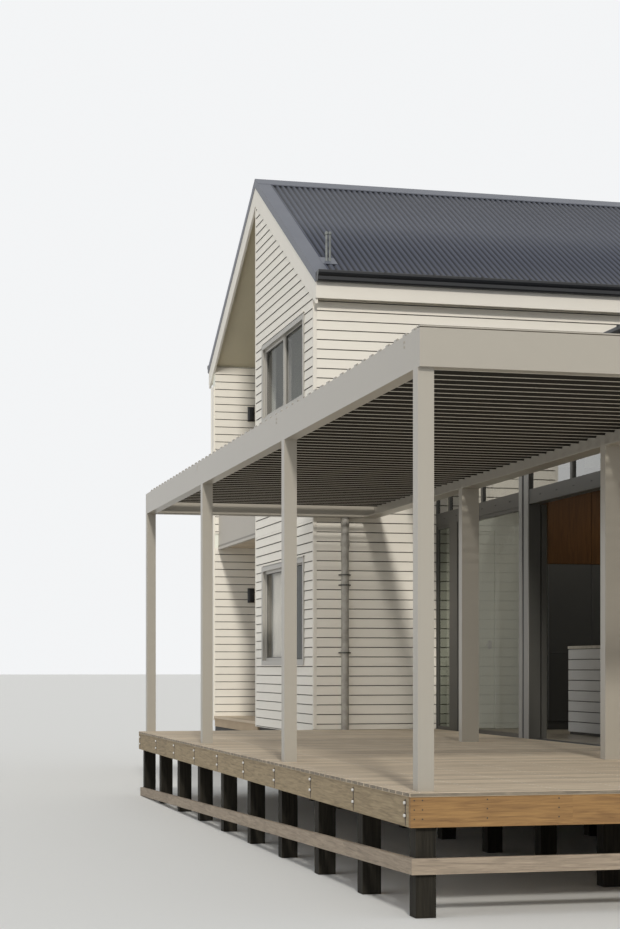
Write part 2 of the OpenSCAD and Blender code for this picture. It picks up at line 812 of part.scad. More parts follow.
module glazing_head() {
    x = [x_glazing, x_glazing + door_frame_d];
    color([0.30, 0.30, 0.29]) placed() {
        block(x, [y_glazing, y_near], [door_head, door_head + transom_h]);
        block(x, [y_glazing, y_near], [light_top - light_bar, light_top]);
        for (y = concat([y_glazing, y_near - light_bar], light_posts))
            block(x, [y, y + light_bar], [door_head, light_top]);
    }
}

module leaf_frame(x, y) {
    difference() {
        block([x, x + leaf_t], [y, y + leaf_w], [leaf_bottom, leaf_top]);
        block([x - cut, x + leaf_t + cut], [y + leaf_stile, y + leaf_w - leaf_stile],
            [leaf_bottom + leaf_rail, leaf_top - leaf_stile]);
    }
}

module leaf_pane(x, y) {
    inset = (leaf_t - glass_t) / 2;
    block([x + inset, x + inset + glass_t], [y + leaf_stile, y + leaf_w - leaf_stile],
        [leaf_bottom + leaf_rail, leaf_top - leaf_stile]);
}

module fixed_leaf() {
    color([0.28, 0.28, 0.27]) placed() difference() {
        block([track_x(2), track_x(2) + leaf_t], [y_door0, y_door0 + leaf_w], [leaf_bottom - seat_gap, door_head]);
        block([track_x(2) - cut, track_x(2) + leaf_t + cut],
            [y_door0 + leaf_stile, y_door0 + leaf_w - leaf_stile],
            [leaf_bottom + leaf_rail, leaf_top - leaf_stile]);
    }
}

module fixed_glass() {
    x = [x_glazing + pane_setback, x_glazing + pane_setback + glass_t];
    posts = concat([y_near - light_bar], light_posts, [y_glazing]);
    color([0.40, 0.45, 0.46]) placed() {
        leaf_pane(track_x(2), y_door0);
        block(x, [y_middle_post, y_stile], [0, door_head]);
        block(x, [y_stile + stile_w, y_near - jamb_w], [0, door_head]);
        for (i = [1:len(posts) - 1]) block(x, [posts[i] + light_bar, posts[i - 1]],
            [door_head + transom_h, light_top - light_bar]);
    }
}

module sliding_leaf_mid() {
    color([0.28, 0.28, 0.27]) placed() leaf_frame(track_x(1), y_door0 + running_gap);
}

module sliding_glass_mid() {
    color([0.40, 0.45, 0.46]) placed() leaf_pane(track_x(1), y_door0 + running_gap);
}

module sliding_leaf_outer() {
    color([0.28, 0.28, 0.27]) placed() leaf_frame(track_x(0), y_door0 + running_gap);
}

module sliding_glass_outer() {
    color([0.40, 0.45, 0.46]) placed() leaf_pane(track_x(0), y_door0 + running_gap);
}

module kitchen_island() {
    color([0.51, 0.50, 0.48]) placed() block(island_x, island_y, [0, island_h]);
}

module island_top() {
    color([0.78, 0.76, 0.72]) placed()
        block([island_x[0] - top_reach, island_x[1] + top_reach],
            [island_y[0] - top_reach, island_y[1] + top_reach], [island_h, island_h + top_t]);
}

module tall_cabinets() {
    color([0.10, 0.10, 0.09]) placed() block(cabinet_x, [y_near - cabinet_d, y_near], [0, cabinet_h]);
}

module timber_panel() {
    color([0.30, 0.19, 0.10]) placed()
        block(cabinet_x, [y_near - cabinet_d, y_near], [cabinet_h, cabinet_h + panel_h]);
}

decking();
deck_joists();
deck_bearers();
deck_side_fascia();
deck_front_fascia();
deck_piles();
ground_boards();
pergola_posts();
wall_posts();
pergola_long_beams();
pergola_cross_beams();
louvre_rails();
louvre_blades();
foundation();
ground_floor();
upper_floor();
gable_wall();
near_wall();
far_wall();
east_wall();
recess_walls();
porch_slab();
balcony_floor();
balcony_panel();
roof_near_slope();
roof_far_slope();
ridge_caps();
barge_boards();
eave_boards();
gutters();
roof_vent();
downpipe();
wall_lights();
window_frames();
window_glass();
curtain();
wing_end_wall();
wing_back_wall();
wing_side_wall();
wing_lintel();
wing_roof_left();
wing_roof_right();
glazing_sill();
glazing_posts();
glazing_head();
fixed_leaf();
fixed_glass();
sliding_leaf_mid();
sliding_glass_mid();
sliding_leaf_outer();
sliding_glass_outer();
kitchen_island();
island_top();
tall_cabinets();
timber_panel();
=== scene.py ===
import math

import bmesh
import bpy
from mathutils import Matrix, Vector


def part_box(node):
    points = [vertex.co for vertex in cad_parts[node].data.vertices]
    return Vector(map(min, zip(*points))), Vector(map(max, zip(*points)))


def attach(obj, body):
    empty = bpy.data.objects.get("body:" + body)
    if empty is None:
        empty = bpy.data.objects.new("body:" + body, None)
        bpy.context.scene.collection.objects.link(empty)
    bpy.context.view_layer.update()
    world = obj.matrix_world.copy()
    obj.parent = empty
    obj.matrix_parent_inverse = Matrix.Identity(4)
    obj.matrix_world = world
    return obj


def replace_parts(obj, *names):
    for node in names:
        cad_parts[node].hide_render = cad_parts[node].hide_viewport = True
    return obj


print("loading the packed house")
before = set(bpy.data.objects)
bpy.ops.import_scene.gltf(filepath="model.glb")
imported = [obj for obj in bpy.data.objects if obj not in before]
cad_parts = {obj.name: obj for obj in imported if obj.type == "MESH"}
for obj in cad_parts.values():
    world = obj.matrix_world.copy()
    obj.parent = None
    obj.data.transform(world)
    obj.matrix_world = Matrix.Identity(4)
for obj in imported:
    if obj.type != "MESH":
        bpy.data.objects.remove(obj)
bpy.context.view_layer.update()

# places that many pieces share, read from the solids
gableX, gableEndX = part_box("gable_wall")[0].x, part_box("gable_wall")[1].x
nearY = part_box("near_wall")[0].y
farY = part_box("far_wall")[1].y
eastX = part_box("east_wall")[1].x
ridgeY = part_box("gable_wall")[1].y
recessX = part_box("porch_slab")[1].x
wallThickness = gableEndX - gableX
porchFarY = farY - wallThickness
postX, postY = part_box("pergola_posts")[0].x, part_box("pergola_posts")[0].y
deckLow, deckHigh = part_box("decking")
deckTop = deckHigh.z
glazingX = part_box("glazing_sill")[0].x
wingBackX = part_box("wing_back_wall")[1].x
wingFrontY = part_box("wing_end_wall")[0].y
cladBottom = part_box("near_wall")[0].z

tallPitch, wingPitch, roofThickness = math.radians(30), math.radians(15), 0.2
tallSlope, wingSlope = math.tan(tallPitch), math.tan(wingPitch)
bargeFoot = 0.345  # how far a barge board hangs under the roof's top
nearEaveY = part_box("roof_near_slope")[0].y
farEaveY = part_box("roof_far_slope")[1].y
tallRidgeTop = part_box("roof_near_slope")[1].z
leftEaveX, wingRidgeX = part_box("wing_roof_left")[0].x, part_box("wing_roof_left")[1].x
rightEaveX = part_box("wing_roof_right")[1].x
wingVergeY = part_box("wing_roof_left")[0].y
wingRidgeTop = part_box("wing_roof_left")[1].z


def tallTop(y):
    return tallRidgeTop - abs(y - ridgeY) * tallSlope


def tallUnder(y):
    return tallTop(y) - roofThickness / math.cos(tallPitch)


def wingTop(x):
    return wingRidgeTop - abs(x - wingRidgeX) * wingSlope


def wingUnder(x):
    return wingTop(x) - roofThickness / math.cos(wingPitch)


# helpers for shader trees: an input takes a value or the socket that feeds it
def setInputs(tree, node, inputs):
    for key, value in inputs.items():
        if isinstance(value, bpy.types.NodeSocket):
            tree.links.new(value, node.inputs[key])
        else:
            node.inputs[key].default_value = value


def addNode(tree, kind, inputs=None, **settings):
    node = tree.nodes.new("ShaderNode" + kind)
    for key, value in settings.items():
        setattr(node, key, value)
    setInputs(tree, node, inputs or {})
    return node


def addMath(tree, operation, *values, clamp=False):
    return addNode(tree, "Math", dict(enumerate(values)), operation=operation, use_clamp=clamp).outputs[0]


def addVectorMath(tree, operation, *values):
    return addNode(tree, "VectorMath", dict(enumerate(values)), operation=operation).outputs


def colorMix(tree, factor, first, second):
    return addNode(tree, "Mix", {0: factor, 6: first, 7: second}, data_type="RGBA").outputs[2]


# camera, lamps and sky
cameraPlan = {"lens": 71.26, "sensor": 36, "place": (-3.19, -10.39, 0.73), "turn": 13.71, "shiftY": 0.219,
              "far": 900}
suns = {"softSun": {"energy": 1.80, "angle": 5.0, "way": (0.16, 1.0, -0.55), "color": (1.0, 0.965, 0.90)},
        "softFill": {"energy": 0.50, "angle": 40.0, "way": (1.0, 0.35, -0.25), "color": (0.96, 0.98, 1.0)}}
roomPlan = {"energy": 30.0, "size": 2.6, "color": (1.0, 0.97, 0.90), "place": (-0.6, 4.2, 2.9)}
skyPlan = {"strength": 0.50, "light": (0.95, 0.97, 1.0, 1.0), "seen": (0.90, 0.91, 0.92, 1.0)}


def addToScene(name, data):
    item = bpy.data.objects.new(name, data)
    bpy.context.scene.collection.objects.link(item)
    return item


cameraData = bpy.data.cameras.new("photoCamera")
cameraData.lens = cameraPlan["lens"]
cameraData.sensor_width = cameraPlan["sensor"]
cameraData.shift_y = cameraPlan["shiftY"]
cameraData.clip_end = cameraPlan["far"]
camera = addToScene("photoCamera", cameraData)
camera.location = Vector((postX, postY, deckTop)) + Vector(cameraPlan["place"])
camera.rotation_euler = (math.radians(90), 0, math.radians(-cameraPlan["turn"]))
bpy.context.scene.camera = camera

for name, plan in suns.items():
    sunData = bpy.data.lights.new(name, "SUN")
    sunData.energy, sunData.angle, sunData.color = plan["energy"], math.radians(plan["angle"]), plan["color"]
    addToScene(name, sunData).rotation_euler = Vector(plan["way"]).to_track_quat("-Z", "Y").to_euler()

roomData = bpy.data.lights.new("roomLight", "AREA")
roomData.energy, roomData.size, roomData.color = roomPlan["energy"], roomPlan["size"], roomPlan["color"]
roomCorner = Vector((wingRidgeX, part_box("wing_side_wall")[1].y, deckTop))
addToScene("roomLight", roomData).location = roomCorner + Vector(roomPlan["place"])

bpy.context.scene.view_settings.view_transform = "Standard"
world = bpy.data.worlds.new("softSky")
bpy.context.scene.world = world
world.use_nodes = True
sky = world.node_tree
sky.nodes.clear()
rays = addNode(sky, "LightPath").outputs
seenRays = addMath(sky, "MAXIMUM", rays["Is Camera Ray"], rays["Is Glossy Ray"])
seenRays = addMath(sky, "MAXIMUM", seenRays, rays["Is Transmission Ray"])
skyLight = addNode(sky, "Background", {"Color": skyPlan["light"], "Strength": skyPlan["strength"]})
skySeen = addNode(sky, "Background", {"Color": skyPlan["seen"]})
skyMix = addNode(sky, "MixShader", {"Fac": seenRays, 1: skyLight.outputs[0], 2: skySeen.outputs[0]})
addNode(sky, "OutputWorld", {"Surface": skyMix.outputs[0]})

# shader groups that several finishes share
print("making the finishes")


def newGroup(name, ins, outs):
    group = bpy.data.node_groups.new(name, "ShaderNodeTree")
    for label, kind, value in ins:
        socket = group.interface.new_socket(name=label, in_out="INPUT", socket_type="NodeSocket" + kind)
        if value is not None:
            socket.default_value = value
    for label, kind in outs:
        group.interface.new_socket(name=label, in_out="OUTPUT", socket_type="NodeSocket" + kind)
    return group, group.nodes.new("NodeGroupInput").outputs, group.nodes.new("NodeGroupOutput")


# weathered paint: broad patches, fine speckle and a height for its bump
wearGroup, wearIn, wearOut = newGroup(
    "weatheredFilm",
    [("Color", "Color", (0.5, 0.5, 0.5, 1)), ("Stain", "Color", (0.3, 0.3, 0.3, 1)), ("Amount", "Float", 0.2),
     ("Patch", "Float", 1.5), ("Speckle", "Float", 60.0), ("Vector", "Vector", None)],
    [("Color", "Color"), ("Rough", "Float"), ("Height", "Float")],
)
patchNoise = addNode(wearGroup, "TexNoise", {
    "Vector": wearIn["Vector"], "Scale": wearIn["Patch"], "Detail": 5, "Roughness": 0.62})
speckNoise = addNode(wearGroup, "TexNoise", {
    "Vector": wearIn["Vector"], "Scale": wearIn["Speckle"], "Detail": 4})
patchRange = addNode(wearGroup, "MapRange", {
    "Value": patchNoise.outputs[0], "From Min": 0.38, "From Max": 0.70})
roughRange = addNode(wearGroup, "MapRange", {
    "Value": speckNoise.outputs[0], "To Min": 0.40, "To Max": 0.62})
wearAmount = addMath(wearGroup, "MULTIPLY", patchRange.outputs[0], wearIn["Amount"])
setInputs(wearGroup, wearOut, {
    "Color": colorMix(wearGroup, wearAmount, wearIn["Color"], wearIn["Stain"]),
    "Rough": roughRange.outputs[0],
    "Height": speckNoise.outputs[0],
})

# sawn timber: long grain, and a tone of its own for each board
grainGroup, grainIn, grainOut = newGroup(
    "sawnGrain",
    [("Light", "Color", (0.5, 0.4, 0.3, 1)), ("Dark", "Color", (0.2, 0.15, 0.1, 1)),
     ("Stretch", "Vector", (1.0, 14.0, 14.0)), ("Board Axis", "Vector", (0.0, 1.0, 0.0)),
     ("Board Pitch", "Float", 0.145), ("Board Tone", "Float", 0.35), ("Vector", "Vector", None)],
    [("Color", "Color"), ("Height", "Float")],
)
stretched = addVectorMath(grainGroup, "MULTIPLY", grainIn["Vector"], grainIn["Stretch"])[0]
across = addVectorMath(grainGroup, "DOT_PRODUCT", grainIn["Vector"], grainIn["Board Axis"])["Value"]
boardNumber = addMath(grainGroup, "FLOOR", addMath(grainGroup, "DIVIDE", across, grainIn["Board Pitch"]))
boardNoise = addNode(grainGroup, "TexWhiteNoise", {"W": boardNumber}, noise_dimensions="1D").outputs
boardShift = addVectorMath(grainGroup, "MULTIPLY_ADD", boardNoise["Color"], (23.0, 31.0, 17.0), stretched)[0]
longGrain = addNode(grainGroup, "TexNoise", {
    "Vector": boardShift, "Scale": 3.0, "Detail": 7, "Roughness": 0.6, "Distortion": 0.7}).outputs[0]
grainRange = addNode(grainGroup, "MapRange", {"Value": longGrain, "From Min": 0.30, "From Max": 0.72})
toneLess = addMath(grainGroup, "SUBTRACT", boardNoise["Value"], 0.5)
toneAdd = addMath(
    grainGroup, "MULTIPLY_ADD", toneLess, grainIn["Board Tone"], grainRange.outputs[0], clamp=True)
setInputs(grainGroup, grainOut, {
    "Color": colorMix(grainGroup, toneAdd, grainIn["Light"], grainIn["Dark"]), "Height": longGrain})


def startMaterial(name, roughness, metallic=0.0):
    material = bpy.data.materials.new(name)
    material.use_nodes = True
    tree = material.node_tree
    shader = tree.nodes["Principled BSDF"]
    setInputs(tree, shader, {"Roughness": roughness, "Metallic": metallic})
    return material, tree, shader, addNode(tree, "TexCoord").outputs["Object"]


def addBump(tree, shader, height, strength, distance=0.004):
    bump = addNode(tree, "Bump", {"Height": height, "Strength": strength, "Distance": distance})
    setInputs(tree, shader, {"Normal": bump.outputs["Normal"]})


def addFilm(tree, coords, color, stain, amount, patch, speckle=60.0):
    return addNode(tree, "Group", {
        "Color": (*color, 1), "Stain": (*stain, 1), "Amount": amount, "Patch": patch, "Speckle": speckle,
        "Vector": coords}, node_tree=wearGroup).outputs


def filmFinish(name, color, stain, amount, patch, speckle, bump, rough=None):
    material, tree, shader, coords = startMaterial(name, 0.5 if rough is None else rough)
    film = addFilm(tree, coords, color, stain, amount, patch, speckle)
    setInputs(tree, shader, {"Base Color": film["Color"]})
    if rough is None:
        setInputs(tree, shader, {"Roughness": film["Rough"]})
    addBump(tree, shader, film["Height"], bump)
    return material


def timberFinish(name, light, dark, stretch, tone, axis=(0, 1, 0), pitch=0.145, rough=0.75, bump=0.35):
    material, tree, shader, coords = startMaterial(name, rough)
    grain = addNode(tree, "Group", {
        "Light": (*light, 1), "Dark": (*dark, 1), "Stretch": stretch, "Board Axis": axis,
        "Board Pitch": pitch, "Board Tone": tone, "Vector": coords}, node_tree=grainGroup).outputs
    setInputs(tree, shader, {"Base Color": grain["Color"]})
    addBump(tree, shader, grain["Height"], bump)
    return material


# colour, stain, share of stain, scale of patches, scale of speckle, bump, and roughness where it is even
films = {
    "boardPaint": ((0.80, 0.757, 0.672), (0.67, 0.63, 0.55), 0.30, 0.9, 45, 0.10),
    # dark paint for the boards' grooves and undersides and the balcony's seam: painted shade
    "jointShade": ((0.22, 0.20, 0.165), (0.14, 0.128, 0.105), 0.4, 3.0, 60, 0.10),
    "trimPaint": ((0.76, 0.72, 0.64), (0.64, 0.60, 0.53), 0.22, 1.2, 50, 0.10),
    "soffitPaint": ((0.60, 0.54, 0.39), (0.48, 0.43, 0.32), 0.25, 1.0, 40, 0.08),
    "liningPaint": ((0.80, 0.81, 0.72), (0.70, 0.71, 0.63), 0.18, 1.1, 50, 0.06),
    "roofFlat": ((0.085, 0.093, 0.118), (0.12, 0.13, 0.155), 0.35, 2.2, 70, 0.08, 0.42),
    "gutterSteel": ((0.012, 0.013, 0.015), (0.028, 0.028, 0.030), 0.3, 3.0, 80, 0.06, 0.38),
    "ventSteel": ((0.13, 0.14, 0.14), (0.30, 0.31, 0.28), 0.6, 8.0, 80, 0.10, 0.45),
    "pergolaPaint": ((0.345, 0.315, 0.262), (0.30, 0.274, 0.23), 0.35, 0.8, 60, 0.05, 0.34),
    # the louvres' lower lips are lighter than the blades' own paint: painted highlight
    "louvreLitEdge": ((0.60, 0.56, 0.49), (0.48, 0.45, 0.39), 0.35, 1.5, 60, 0.05, 0.5),
    "windowMetal": ((0.40, 0.38, 0.34), (0.31, 0.295, 0.265), 0.3, 2.0, 80, 0.04, 0.42),
    "sealBlack": ((0.016, 0.016, 0.017), (0.03, 0.03, 0.03), 0.3, 6.0, 80, 0.05, 0.6),
    "doorMetal": ((0.054, 0.052, 0.045), (0.040, 0.039, 0.034), 0.3, 2.0, 80, 0.04, 0.42),
    "coverMetal": ((0.26, 0.255, 0.24), (0.20, 0.195, 0.185), 0.3, 2.0, 80, 0.04, 0.45),
    "lampBlack": ((0.010, 0.010, 0.011), (0.02, 0.02, 0.02), 0.3, 6.0, 80, 0.06, 0.5),
    "lampLens": ((0.75, 0.72, 0.62), (0.6, 0.57, 0.48), 0.2, 6.0, 80, 0.02, 0.25),
    "foundationDark": ((0.045, 0.043, 0.040), (0.09, 0.085, 0.075), 0.5, 3.0, 30, 0.5, 0.85),
    "porchStone": ((0.43, 0.33, 0.22), (0.26, 0.20, 0.135), 0.30, 2.5, 120, 0.8, 0.9),
    "pavingStone": ((0.56, 0.46, 0.34), (0.40, 0.32, 0.23), 0.30, 3.5, 160, 0.5, 0.85),
    "panelMetal": ((0.44, 0.405, 0.35), (0.38, 0.35, 0.305), 0.3, 1.0, 60, 0.05, 0.5),
    # heavy dark mottling on the downpipe: painted dappled shadow
    "pipePaint": ((0.38, 0.36, 0.32), (0.19, 0.175, 0.15), 0.7, 9.0, 60, 0.08, 0.5),
    "zincMetal": ((0.72, 0.71, 0.68), (0.45, 0.44, 0.42), 0.4, 40.0, 200, 0.2, 0.35),
    "rustStain": ((0.070, 0.050, 0.032), (0.03, 0.022, 0.016), 0.5, 60.0, 200, 0.2, 0.8),
    "islandPaint": ((0.50, 0.49, 0.465), (0.42, 0.41, 0.39), 0.3, 2.0, 60, 0.05),
    "stoneTop": ((0.52, 0.48, 0.40), (0.30, 0.27, 0.22), 0.7, 14.0, 120, 0.05, 0.25),
    "cabinetDark": ((0.020, 0.019, 0.017), (0.03, 0.028, 0.024), 0.4, 2.0, 60, 0.05, 0.4),
    "curtainCloth": ((0.94, 0.89, 0.78), (0.86, 0.81, 0.70), 0.2, 3.0, 400, 0.25, 0.9),
}
# light grain, dark grain, stretch of the grain, tone of a board, axis across the boards, their pitch,
# roughness and bump
timbers = {
    "deckTimber": ((0.68, 0.565, 0.42), (0.36, 0.292, 0.215), (1.0, 13.0, 13.0), 0.5),
    "deckEnds": ((0.25, 0.21, 0.155), (0.13, 0.108, 0.08), (3.0, 3.0, 20.0), 0.4),
    "framingTimber": ((0.34, 0.27, 0.17), (0.19, 0.14, 0.08), (9.0, 1.0, 9.0), 0.3, (1, 0, 0), 0.45),
    "edgeTimber": ((0.375, 0.295, 0.185), (0.18, 0.138, 0.085), (8.0, 1.5, 24.0), 0.22, (0, 1, 0), 2.4),
    "frontTimber": ((0.315, 0.178, 0.062), (0.145, 0.072, 0.025), (1.3, 8.0, 22.0), 0.2, (1, 0, 0), 2.9),
    # near-black piles: their shaded look under the deck painted into the timber colour
    "pileTimber": ((0.030, 0.026, 0.019), (0.008, 0.007, 0.005), (14.0, 14.0, 1.1), 0.3, (1, 1, 0), 0.4),
    "groundTimber": ((0.36, 0.29, 0.215), (0.17, 0.135, 0.10), (1.6, 1.6, 26.0), 0.3, (0, 1, 0), 2.4),
    "floorTimber": ((0.30, 0.26, 0.20), (0.15, 0.125, 0.09), (1.0, 12.0, 12.0), 0.4,
                    (0, 1, 0), 0.16, 0.35, 0.1),
    "brownTimber": ((0.062, 0.026, 0.006), (0.032, 0.013, 0.003), (12.0, 12.0, 1.0), 0.3,
                    (1, 0, 0), 0.4, 0.45, 0.12),
}
finishes = {name: filmFinish(name, *plan) for name, plan in films.items()}
finishes.update({name: timberFinish(name, *plan) for name, plan in timbers.items()})
# dull timber, sheen on the coated metal
for name, level in (("brownTimber", 0.12), ("pileTimber", 0.15), ("edgeTimber", 0.25), ("pergolaPaint", 1.0)):
    finishes[name].node_tree.nodes["Principled BSDF"].inputs["Specular IOR Level"].default_value = level


# a film that turns to a painted shade colour where its mask falls from the first limit to the second
def paintedShadeFinish(name, plan, mask):
    material, tree, shader, coords = startMaterial(name, plan["rough"])
    film = addFilm(tree, coords, plan["color"], plan["stain"], plan["amount"], plan["patch"])
    unshaded, shaded = plan["limits"]
    paintedShade = addNode(tree, "MapRange", {"Value": mask(tree, coords), "From Min": unshaded, "From Max": shaded})
    setInputs(tree, shader, {
        "Specular IOR Level": plan["level"],
        "Base Color": colorMix(tree, paintedShade.outputs[0], film["Color"], (*plan["paintedShade"], 1))})
    addBump(tree, shader, film["Height"], plan["bump"])
    return material


# the steel's valleys and the louvres' downward faces take the painted shade colour
steelPlan = {"color": (0.058, 0.065, 0.090), "stain": (0.076, 0.084, 0.112), "amount": 0.3, "patch": 2.2,
             "rough": 0.5, "level": 0.3, "bump": 0.08, "paintedShade": (0.012, 0.014, 0.020), "limits": (0.3, -0.9)}
louvrePlan = {"color": (0.375, 0.345, 0.292), "stain": (0.30, 0.277, 0.237), "amount": 0.2, "patch": 1.5,
              "rough": 0.6, "level": 0.15, "bump": 0.05, "paintedShade": (0.020, 0.018, 0.014), "limits": (0.1, -0.3)}


# corrugated steel, darker along its valleys: painted shade
def corrugatedFinish(name, axis, start, pitch):
    def wave(tree, coords):
        along = addVectorMath(tree, "DOT_PRODUCT", coords, axis)["Value"]
        turns = 2 * math.pi / pitch
        return addMath(tree, "COSINE", addMath(tree, "MULTIPLY_ADD", along, turns, -start * turns))
    return paintedShadeFinish(name, steelPlan, wave)


# louvre blades: paint colour on top, darker below: painted shade on the downward faces
def louvreFinish(name):
    def upward(tree, coords):
        return addNode(tree, "SeparateXYZ", {0: addNode(tree, "NewGeometry").outputs["Normal"]}).outputs["Z"]
    return paintedShadeFinish(name, louvrePlan, upward)


glass = {"window": (0.085, 0.090, 0.086, 1), "door": (0.36, 0.40, 0.38, 1), "pane": (0.20, 0.235, 0.185, 1),
         "light": (0.62, 0.62, 0.60, 1), "windowLeast": 0.05, "doorLeast": 0.03, "gain": 2.8,
         "paneWide": 0.60, "lightGap": 0.02, "rough": 0.02, "index": 1.5, "ripple": 1.6, "rippleBump": 0.02,
         "rippleDepth": 0.01}


# thin glass: clear straight through, more of a mirror at a low angle
def glassFinish(name, tint, least):
    material, tree, shader, coords = startMaterial(name, glass["rough"], 1.0)
    fresnel = addNode(tree, "Fresnel", {"IOR": glass["index"]})
    share = addNode(tree, "MapRange", {"Value": fresnel.outputs[0], "To Min": least}, name="share")
    front = addMath(tree, "MULTIPLY_ADD", addNode(tree, "NewGeometry").outputs["Backfacing"], -1.0, 1.0)
    setInputs(tree, shader, {"Base Color": tint, "Alpha": addMath(tree, "MULTIPLY", share.outputs[0], front)})
    ripple = addNode(tree, "TexNoise", {"Vector": coords, "Scale": glass["ripple"]})
    addBump(tree, shader, ripple.outputs[0], glass["rippleBump"], glass["rippleDepth"])
    return material


# the lights over the doors and the pane beside the near wall have their own tints, and mirror more
def blindGlass(name, paneStart, lightStart):
    material = glassFinish(name, glass["door"], glass["doorLeast"])
    tree = material.node_tree
    place = addNode(tree, "SeparateXYZ", {0: addNode(tree, "TexCoord").outputs["Object"]}).outputs
    isPane = addMath(tree, "GREATER_THAN", place["Y"], paneStart)
    isLight = addMath(tree, "GREATER_THAN", place["Z"], lightStart)
    color = colorMix(tree, isLight, colorMix(tree, isPane, glass["door"], glass["pane"]), glass["light"])
    setInputs(tree, tree.nodes["Principled BSDF"], {"Base Color": color})
    more = addMath(tree, "MULTIPLY_ADD", addMath(tree, "MAXIMUM", isPane, isLight), glass["gain"], 1.0)
    share = tree.nodes["share"]
    fresnel = share.inputs["Value"].links[0].from_socket
    setInputs(tree, share, {"Value": addMath(tree, "MULTIPLY", fresnel, more, clamp=True)})
    return material


finishes["louvreFace"] = louvreFinish("louvreFace")
finishes["windowGlass"] = glassFinish("windowGlass", glass["window"], glass["windowLeast"])
finishes["doorGlass"] = glassFinish("doorGlass", glass["door"], glass["doorLeast"])
finishes["fixedGlass"] = blindGlass("fixedGlass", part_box("fixed_glass")[1].y - glass["paneWide"],
                                    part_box("fixed_leaf")[1].z + glass["lightGap"])

# the solids and what they are finished in
dressed = {
    "deckTimber": "decking balcony_floor",
    "framingTimber": "deck_joists deck_bearers",
    "edgeTimber": "deck_side_fascia",
    "frontTimber": "deck_front_fascia",
    "pileTimber": "deck_piles",
    "groundTimber": "ground_boards",
    "pergolaPaint": "pergola_posts wall_posts pergola_long_beams pergola_cross_beams louvre_rails",
    "louvreFace": "louvre_blades",
    "foundationDark": "foundation",
    "floorTimber": "ground_floor",
    "liningPaint": "upper_floor gable_wall near_wall far_wall east_wall recess_walls wing_end_wall "
                   "wing_back_wall wing_side_wall wing_lintel wing_roof_left wing_roof_right",
    "soffitPaint": "roof_near_slope roof_far_slope",
    "porchStone": "porch_slab",
    "panelMetal": "balcony_panel",
    "roofFlat": "ridge_caps",
    "trimPaint": "barge_boards eave_boards",
    "gutterSteel": "gutters",
    "ventSteel": "roof_vent",
    "pipePaint": "downpipe",
    "lampBlack": "wall_lights",
    "windowMetal": "window_frames",
    "windowGlass": "window_glass",
    "curtainCloth": "curtain",
    "doorMetal": "glazing_sill glazing_posts glazing_head fixed_leaf sliding_leaf_mid sliding_leaf_outer",
    "doorGlass": "sliding_glass_mid sliding_glass_outer",
    "fixedGlass": "fixed_glass",
    "cabinetDark": "kitchen_island tall_cabinets",
    "stoneTop": "island_top",
    "brownTimber": "timber_panel",
}
for name, nodes in dressed.items():
    for node in nodes.split():
        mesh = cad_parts[node].data
        mesh.materials.clear()
        mesh.materials.append(finishes[name])


# helpers for new pieces
def addBar(bm, low, high):
    low, high = Vector(low), Vector(high)
    place = Matrix.Translation((low + high) / 2) @ Matrix.Diagonal((*(high - low), 1))
    bmesh.ops.create_cube(bm, size=1, matrix=place)


# a round bar along an axis, or a cone where its top differs
def addRound(bm, place, radius, depth, segments, axis="Z", topRadius=None):
    matrix = Matrix.Translation(place)
    if axis != "Z":
        matrix = matrix @ Matrix.Rotation(math.pi / 2, 4, "Y" if axis == "X" else "X")
    bmesh.ops.create_cone(bm, cap_ends=True, segments=segments, radius1=radius, radius2=topRadius or radius,
                          depth=depth, matrix=matrix)


def bevelEdges(bm, offset, segments=1, edges=None):
    bmesh.ops.bevel(bm, geom=edges or bm.edges[:], offset=offset, segments=segments, profile=0.5,
                    affect="EDGES", material=-1)


def finishPiece(name, bm, finish, body="house", smooth=False, faceOut=True):
    if faceOut:
        bmesh.ops.recalc_face_normals(bm, faces=bm.faces)
    mesh = bpy.data.meshes.new(name)
    bm.to_mesh(mesh)
    bm.free()
    mesh.materials.append(finishes[finish])
    if smooth:
        mesh.polygons.foreach_set("use_smooth", [True] * len(mesh.polygons))
    piece = addToScene(name, mesh)
    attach(piece, body)
    return piece


# a piece made of bars alone, each from its low corner to its high one
def barPiece(name, bars, finish, body="house", bevel=0, steps=1):
    bm = bmesh.new()
    for low, high in bars:
        addBar(bm, low, high)
    if bevel:
        bevelEdges(bm, bevel, steps)
    finishPiece(name, bm, finish, body)


def solidify(piece, thickness, offset=-1.0):
    shell = piece.modifiers.new("thickness", "SOLIDIFY")
    shell.thickness = thickness
    shell.offset = offset


# boxes of the separate solids in a node
def looseBoxes(node):
    bm = bmesh.new()
    bm.from_mesh(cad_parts[node].data)
    bmesh.ops.remove_doubles(bm, verts=bm.verts, dist=0.0002)
    seen, boxes = set(), []
    for vert in bm.verts:
        if vert in seen:
            continue
        stack, island = [vert], []
        seen.add(vert)
        while stack:
            current = stack.pop()
            island.append(current.co.copy())
            for edge in current.link_edges:
                other = edge.other_vert(current)
                if other not in seen:
                    seen.add(other)
                    stack.append(other)
        low = Vector([min(p[i] for p in island) for i in range(3)])
        high = Vector([max(p[i] for p in island) for i in range(3)])
        boxes.append((low, high))
    bm.free()
    return boxes


windowBoxes = looseBoxes("window_frames")

# weatherboards, cut round the windows and under the roof edges
print("laying the weatherboards")
cladding = {"pitch": 0.1135, "firstJoint": -0.042, "upperShift": 0.030, "storeyRows": 22, "reach": 0.026,
            "faceTop": 0.020, "grooveBack": 0.002, "groove": 0.011, "headGap": 0.020, "footGap": 0.014,
            "sideGap": 0.003, "roofGap": 0.004, "ridgeGap": 0.02, "deckGap": 0.004, "floorGap": 0.002,
            "sliver": 0.003, "shortest": 0.004, "tip": 0.001, "past": 0.1, "frameNear": 0.01,
            "frameDeep": 0.3}


def boardReach(rise):
    reach, faceTop, back = cladding["reach"], cladding["faceTop"], cladding["grooveBack"]
    face = cladding["pitch"] - cladding["groove"]
    if rise <= face:
        return reach + (faceTop - reach) * rise / face
    return faceTop + (back - faceTop) * (rise - face) / cladding["groove"]


